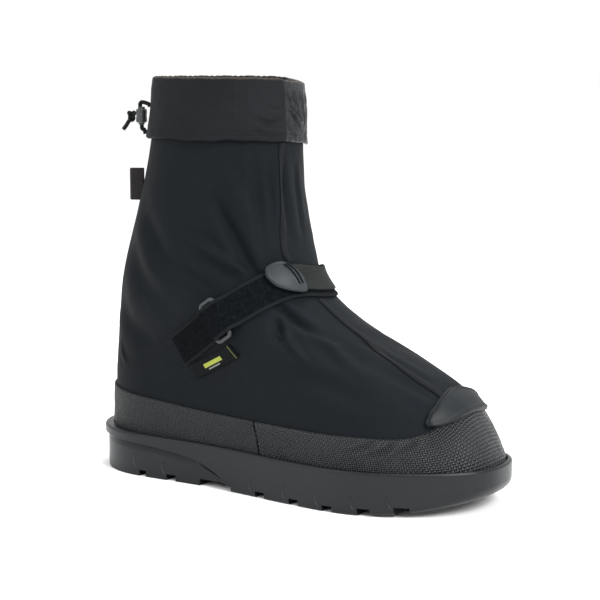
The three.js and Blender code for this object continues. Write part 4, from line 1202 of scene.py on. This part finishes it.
def moulded_plastic(name, dark, light, rough):
    material, tree, shader, _ = new_material(name, dark, light, 40.0, 800.0, rough, 0.3)
    bump(tree, shader, [(noise(tree, 150.0), 0.15, 0.3), (noise(tree, 2500.0, 2.0), 0.04, 0.5)])
    shader.inputs["Coat Weight"].default_value = 0.15
    shader.inputs["Coat Roughness"].default_value = 0.25
    return material


ring_plastic = moulded_plastic("ring_plastic", (0.02, 0.0235, 0.0255), (0.028, 0.032, 0.035), (0.3, 0.42))
ring("ring_outer_plastic", ring_turn, ring_plastic, "strap_ring_outer")
ring("ring_inner_plastic", 1 - ring_turn, ring_plastic, "strap_ring_inner")

# Return strap: flat ribbed webbing, narrower than the pile tape. It runs from the pull tab back over the
# pile and is turned round the inner ring.
tab_turn, tab_length, tab_thickness, tab_rise, tab_angle = 0.433, 27, 2.4, 2, math.radians(8)


def ribbed_webbing():
    material, tree, shader, _ = new_material(
        "ribbed_webbing", (0.008, 0.0098, 0.0092), (0.0155, 0.018, 0.0168), 120.0, 1400.0, (0.6, 0.74)
    )
    cloth = put(tree, "ShaderNodeUVMap", uv_map="cloth")
    along = put(tree, "ShaderNodeSeparateXYZ", {0: cloth.outputs[0]})
    rib = maths(tree, "SINE", maths(tree, "MULTIPLY", along.outputs["Y"], 2 * math.pi / (1.9 * MM)))
    bump(tree, shader, [(rib, 0.16, 0.7), (threads(tree, 0.75), 0.2, 0.8)])
    return material


def return_strap():
    turns, offsets = turn_round_ring()
    offsets = offsets + (second_layer - lift_off) * np.linspace(0, 1, len(turns)) ** 2
    offsets = np.minimum(offsets, ring_lift + around_bar + seat_gap - strap_thickness / 2)
    flat = np.linspace(tab_turn, 1 - turns[-1], 240)[:-1]
    turns = np.concatenate([flat, 1 - turns[::-1]])
    offsets = np.concatenate([np.full(flat.shape, second_layer + strap_thickness / 2), offsets[::-1]])
    top = strap_width / 2
    piece = ribbon("return_webbing", turns, offsets, top - return_width, top, ribbed_webbing())
    finish_piece(piece, "webbing", "return_strap")


return_strap()

# Pull tab: a leaf of moulded rubber with a rounded rim and two curved slots, welded to the end of the
# webbing so that the strap can be pulled open.
# Place along the tab, and its lowest and highest place across, as shares of its length
tab_outline = smooth_rows(
    [
        (-0.44, 0.3, 0.38),
        (-0.42, 0.19, 0.48),
        (-0.37, -0.01, 0.55),
        (-0.28, -0.165, 0.56),
        (-0.15, -0.32, 0.55),
        (0.0, -0.435, 0.51),
        (0.13, -0.5, 0.43),
        (0.25, -0.49, 0.31),
        (0.34, -0.36, 0.19),
        (0.39, -0.22, 0.08),
        (0.41, -0.09, -0.02),
    ]
)
# Slots: place across the tab, and place along it for the slot by the edge and the one inside it
tab_slots = smooth_rows(
    [
        (-0.22, 0.28, 0.186),
        (-0.06, 0.296, 0.202),
        (0.1, 0.285, 0.185),
        (0.26, 0.222, 0.128),
        (0.4, 0.11, 0.04),
    ]
)


def distance_to(points, line):
    """Least distance from points of a plane to the points of a line."""
    gaps = points[..., None, :] - line
    return np.sqrt((gaps**2).sum(-1)).min(-1)


def pull_tab():
    along = -0.015 - 0.425 * np.cos(np.linspace(0, np.pi, 150))
    _, low, high = tab_outline(along)
    share = (1 - np.cos(np.linspace(0, np.pi, 110))) / 2
    across = low[:, None] + (high - low)[:, None] * share[None, :]
    flat = np.stack([np.broadcast_to(along[:, None], across.shape), across], -1) * tab_length
    rim = np.concatenate([flat[:, 0], flat[:, -1], flat[0], flat[-1]])
    inside = distance_to(flat, rim)
    height = tab_thickness - 0.9 * (1 - np.sqrt(1 - (1 - np.clip(inside / 1.3, 0, 1)) ** 2))
    height = height + 0.25 * np.exp(-(((inside - 1.5) / 0.5) ** 2)) - 0.25
    for k in (1, 2):
        places = np.linspace(-0.22, 0.4, 160)
        slot = np.stack([tab_slots(places)[k], places], -1) * tab_length
        gap = distance_to(flat, slot)
        lip = 0.12 * np.exp(-(((gap - 1.0) / 0.3) ** 2))
        height = height - 1.7 * np.clip((0.75 - gap) / 0.25, 0, 1) + lip
    x = flat[..., 0] * math.cos(tab_angle) - flat[..., 1] * math.sin(tab_angle)
    y = flat[..., 0] * math.sin(tab_angle) + flat[..., 1] * math.cos(tab_angle)
    turns = strap_turn(tab_turn, x)
    seat = second_layer + strap_thickness + seat_gap
    face = strap_point(turns, y + tab_rise, seat + height)
    back = strap_point(turns[:, ::-10], y[:, ::-10] + tab_rise, np.full(y[:, ::-10].shape, seat))
    material = smooth_rubber("tab_rubber", (0.014, 0.0175, 0.02), (0.02, 0.024, 0.027), (0.4, 0.5))
    piece = add_skin("pull_tab_leaf", np.concatenate([face, back], 1), material, closed_turn=False)
    finish_piece(piece, "tab_rubber", "pull_tab")


pull_tab()

# Side tag: a small folded label of coated cloth, sewn to the upper just under the outer anchor. It has a
# plain pattern of two bars and a thin coloured edge line.
tag_length, tag_width, tag_thickness, tag_turn, tag_tilt = 38, 11.5, 0.9, 0.234, math.radians(-9)


def tag_cloth():
    material, tree, shader, color = new_material(
        "tag_cloth", (0.002, 0.0025, 0.003), (0.004, 0.005, 0.006), rough=(0.45, 0.55), gloss=0.05
    )
    cloth = put(tree, "ShaderNodeUVMap", uv_map="cloth")
    apart = put(tree, "ShaderNodeSeparateXYZ", {0: cloth.outputs[0]})
    shade = color.outputs["Color"]
    # Bars: first and last place along, lowest and highest place across, in millimetres, and colour
    bars = [
        (12.0, 31.0, -7.4, -4.2, (0.27, 0.3, 0.055, 1)),
        (15.0, 27.0, -9.6, -8.6, (0.17, 0.18, 0.17, 1)),
        (42.6, 43.3, -12.0, 0.0, (0.1, 0.12, 0.04, 1)),
    ]
    for first, last, low, high, paint in bars:
        inside = 1.0
        for axis, start, end in (("X", first, last), ("Y", low, high)):
            after = maths(tree, "GREATER_THAN", apart.outputs[axis], start * MM)
            before = maths(tree, "LESS_THAN", apart.outputs[axis], end * MM)
            inside = maths(tree, "MULTIPLY", inside, maths(tree, "MULTIPLY", after, before))
        mixed = put(tree, "ShaderNodeMix", {0: inside, 6: shade, 7: paint}, data_type="RGBA")
        shade = mixed.outputs[2]
    tree.links.new(shade, shader.inputs["Base Color"])
    bump(tree, shader, [(threads(tree, 0.5), 0.12, 0.6), (noise(tree, 80.0), 0.4, 0.3)])
    return material


def side_tag():
    places = np.linspace(-tag_length / 2, tag_length / 2, 70)
    levels = np.linspace(-tag_width, 0, 24)
    above = -strap_width / 2 - 2 * seat_gap + levels[None, :]
    above = above + (places + tag_length / 2)[:, None] * math.tan(tag_tilt)
    turns = np.broadcast_to(strap_turn(tag_turn, places)[:, None], above.shape)
    base = strap_point(turns, above)
    sag = 0.25 * np.sin(places / 7)[:, None] * (levels / -tag_width)[None, :]
    edge = np.minimum(levels + tag_width, -levels)
    ends = np.minimum(places + tag_length / 2, tag_length / 2 - places)
    rounding = np.exp(-edge / 0.3)[None, :] + np.exp(-ends / 0.3)[:, None]
    rise = lift_off + tag_thickness + sag - 0.4 * rounding
    off = unit(strap_point(turns, above, 1.0) - base)
    face = base + off * rise[..., None]
    back = (base + off * lift_off)[:, ::-1]
    points = np.concatenate([face, back], 1)
    piece = add_skin("side_tag_cloth", points, tag_cloth(), False, np.concatenate([levels, levels[::-1]]))
    finish_piece(piece, "tag_cloth", "side_tag")


side_tag()

# Pull loop: a length of ribbed webbing folded flat on itself, with both ends sewn into the back of the
# shaft below the cuff.
loop_width, loop_ply, loop_slit, loop_reach, loop_turn = 23.5, 1.6, 1.2, 11, 0.058
loop_bottom = rim_height - cuff_drop - 23 - loop_width


def stand_frame(turn, height):
    """Origin on the floor under a place on the shaft, and the directions straight out and sideways."""
    out = outward(np.array(turn), np.array(height)) * np.array([1, 1, 0])
    out = unit(out)
    origin = outside(np.array(turn), np.array(height)) * np.array([1, 1, 0])
    return origin, out, np.cross(np.array([0, 0, 1]), out)


def loop_webbing():
    material, tree, shader, _ = new_material(
        "loop_webbing", (0.0165, 0.0148, 0.0154), (0.027, 0.0245, 0.0254), 90.0, 1300.0, (0.6, 0.74)
    )
    cloth = put(tree, "ShaderNodeUVMap", uv_map="cloth")
    across = put(tree, "ShaderNodeSeparateXYZ", {0: cloth.outputs[0]}).outputs["Y"]
    rib = maths(tree, "SINE", maths(tree, "MULTIPLY", across, 2 * math.pi / (2.1 * MM)))
    layers = [(rib, 0.2, 0.7), (threads(tree, 0.8), 0.22, 0.8), (stitches(tree, 1.6), 0.4, 0.9)]
    bump(tree, shader, layers)
    return material


def pull_loop():
    origin, out, aside = stand_frame(loop_turn, loop_bottom + loop_width / 2)
    half = (loop_ply + loop_slit) / 2
    bend = loop_reach - half - loop_ply / 2
    angles = np.linspace(-np.pi / 2, np.pi / 2, 30)
    straight = np.linspace(0.6, bend, 20)[:-1]
    path = [(x, -half) for x in straight]
    path += [(bend + half * math.cos(a), half * math.sin(a)) for a in angles]
    path += [(x, half) for x in straight[::-1]]
    path = np.array(path)
    tangent = unit(np.gradient(path, axis=0))
    normal = np.stack([tangent[:, 1], -tangent[:, 0]], -1)
    levels = np.linspace(0, loop_width, 25)
    from_edge = np.minimum(levels, loop_width - levels)
    thick = loop_ply / 2 * (0.5 + 0.5 * np.clip(from_edge / 0.9, 0, 1) ** 0.5)
    sides = []
    for side in (1, -1):
        flat = path[:, None, :] + side * normal[:, None, :] * thick[None, :, None]
        grid = origin + flat[..., :1] * out + flat[..., 1:] * aside
        grid[..., 2] = loop_bottom + levels[None, :]
        sides.append(grid)
    points = np.concatenate([sides[0], sides[1][:, ::-1]], 1)
    piece = add_skin("pull_loop_webbing", points, loop_webbing(), False, np.append(levels, levels[::-1]))
    finish_piece(piece, "loop_webbing", "pull_loop")


pull_loop()

# Drawcord: a round braided cord comes out of the cuff's channel, goes down through a moulded cord lock,
# back to the hem, and ends in a knot with a short tail.
cord_diameter = 3
lock_height, lock_depth, lock_width, lock_stand_off, lock_turn = 13, 7.2, 10, 4, 0.05
# How far down the cuff the lock hangs
lock_drop = 27
lock_middle = rim_height - lock_drop
lock_origin, lock_out, lock_aside = stand_frame(lock_turn, lock_middle)


def cuff_face(height):
    """How far the cuff's outside lies from the floor frame's axis at a height behind the shaft."""
    lean = (outside(np.array(lock_turn), np.array(height)) - lock_origin) @ lock_out
    return lean + seat_gap + cuff_wall + cuff_flare * (rim_height - height) / cuff_drop


lock_at = cuff_face(lock_middle) + lock_stand_off + lock_depth / 2
lock_top, lock_bottom = lock_middle + lock_height / 2, lock_middle - lock_height / 2


def behind(points):
    """Points in millimetres from distances out, sideways and heights behind the cuff."""
    points = np.array(points, float)
    flat = lock_origin + points[..., :1] * lock_out + points[..., 1:2] * lock_aside
    flat[..., 2] = points[..., 2]
    return flat


def cord_out(height):
    return cuff_face(height) + cord_diameter / 2 + 2 * seat_gap


hem_side = rim_height - cuff_drop + 2
route = [
    (cord_out(lock_top), 0, lock_top),
    (cord_out(lock_top) + 0.8, 0, lock_top + 2),
    (lock_at - 0.6, 0, lock_top + 3.4),
    (lock_at + 1, 0, lock_top + 2),
    (lock_at + 1, 0, lock_top + 0.6),
    (lock_at + 0.6, 0, lock_middle + 2),
    (lock_at, 0, lock_bottom - seat_gap),
    (lock_at - 0.4, 0, lock_bottom - 3),
    (cord_out(hem_side) + 1.2, 0, hem_side + 3),
    (cord_out(hem_side) + 0.4, 0, hem_side),
]
knot_reach, knot_half_height, knot_strand = 3.75, 4.75, 1.25
knot_out = lock_at + lock_depth / 2 + seat_gap + knot_reach
knot_foot = lock_middle - knot_half_height - seat_gap
tail_route = [
    (knot_out + 0.5, 0, lock_middle - 2),
    (knot_out + 2.6, 0, knot_foot + 0.4),
    (knot_out + 4, 0, knot_foot - 1.8),
    (knot_out + 6.5, 0, knot_foot - 5),
]


def smooth_path(points, count):
    """Evenly spaced points of a smooth line through a few."""
    rows = smooth_rows([(k, *point) for k, point in enumerate(points)])
    line = rows(np.linspace(0, len(points) - 1, 20 * len(points)))[1:].T
    run = np.cumsum(np.linalg.norm(np.diff(line, axis=0, prepend=line[:1]), axis=-1))
    at = np.linspace(0, run[-1], count)
    return np.stack([np.interp(at, run, line[:, k]) for k in range(3)], -1), run[-1]


def braided_cord():
    material, tree, shader, _ = new_material(
        "braided_cord", (0.003, 0.0033, 0.0036), (0.011, 0.012, 0.013), 300.0, 1500.0, (0.6, 0.75)
    )
    cloth = put(tree, "ShaderNodeUVMap", uv_map="cloth")
    turned = put(tree, "ShaderNodeVectorRotate", {"Vector": cloth.outputs[0], "Angle": math.pi / 4})
    turned.rotation_type = "Z_AXIS"
    checks = put(tree, "ShaderNodeTexChecker", {"Vector": turned.outputs[0], "Scale": 1 / (1.1 * MM)})
    bump(tree, shader, [(checks.outputs["Fac"], 0.25, 0.8), (noise(tree, 1800.0, 2.0), 0.1, 0.7)])
    return material


def tube(name, line, radius, material, closed=False):
    """Round cord along a line of points, with a frame that doesn't twist."""
    along = np.roll(line, -1, 0) - np.roll(line, 1, 0) if closed else np.gradient(line, axis=0)
    tangent = unit(along)
    side = np.cross(tangent[0], lock_aside)
    if np.linalg.norm(side) < 0.2:
        side = np.cross(tangent[0], lock_out)
    sides = []
    for way in tangent:
        side = unit(side - (side @ way) * way)
        sides.append(side)
    sides = np.array(sides)
    other = np.cross(sides, tangent)
    angles = np.linspace(0, 2 * np.pi, 16, endpoint=False)
    points = line[:, None, :] + radius * (
        np.cos(angles)[None, :, None] * sides[:, None, :] + np.sin(angles)[None, :, None] * other[:, None, :]
    )
    across = angles * radius
    return add_skin(name, points, material, closed, across)


def cord_lock():
    """Barrel with a pressed plunger: a turned shape, squared off and flattened front to back."""
    profile = [(0, -6.5), (2.4, -6.5), (2.9, -6.2), (2.9, -5.2), (4.3, -5.0), (4.9, -4.3), (5.0, -2)]
    profile += [(4.75, 0), (5.0, 2), (4.9, 4.3), (4.3, 5.0), (3.3, 5.1), (3.3, 5.9), (2.8, 6.5), (0, 6.5)]
    places = np.linspace(0, len(profile) - 1, 70)
    rows = smooth_rows([(k, *point) for k, point in enumerate(profile)])(places)
    radius, height = np.maximum(rows[1], 0.01), rows[2]
    angles = np.linspace(0, 2 * np.pi, 64, endpoint=False)
    squared = (np.abs(np.cos(angles)) ** 3 + np.abs(np.sin(angles)) ** 3) ** (-1 / 3)
    depth = np.cos(angles)[:, None] * radius * lock_depth / lock_width * squared[:, None]
    width = np.sin(angles)[:, None] * radius * squared[:, None]
    shape = np.stack([lock_at + depth, width, np.broadcast_to(lock_middle + height, width.shape)], -1)
    piece = add_skin("cord_lock_barrel", behind(shape), lock_plastic)
    finish_piece(piece, "lock_plastic", "cord_lock")
    return piece


def cord_knot(material):
    """Overhand knot drawn tight: a closed line that crosses itself three times."""
    t = np.linspace(0, 2 * np.pi, 160, endpoint=False)
    x = np.sin(t) + 2 * np.sin(2 * t)
    y = np.cos(t) - 2 * np.cos(2 * t)
    z = -np.sin(3 * t)
    line = np.stack([knot_out + 0.85 * x, 1.8 * z, lock_middle + 1.15 * y], -1)
    piece = tube("drawcord_knot_braid", behind(line), knot_strand, material, closed=True)
    finish_piece(piece, "cord", "drawcord_knot")
    return piece


lock_plastic = moulded_plastic("lock_plastic", (0.03, 0.034, 0.036), (0.043, 0.048, 0.051), (0.25, 0.35))
braid = braided_cord()
lock_piece = cord_lock()
knot_piece = cord_knot(braid)
tail_line, _ = smooth_path(tail_route, 30)
tail_piece = tube("drawcord_tail_braid", behind(tail_line), cord_diameter / 2, braid)
finish_piece(tail_piece, "cord", "drawcord_tail")
cord_line, cord_length = smooth_path(route, 120)
cord_path = behind(cord_line)
cord_piece = tube("drawcord_braid", cord_path, cord_diameter / 2, braid)
finish_piece(cord_piece, "cord", "drawcord_upper", "drawcord_lower")

bpy.context.view_layer.update()
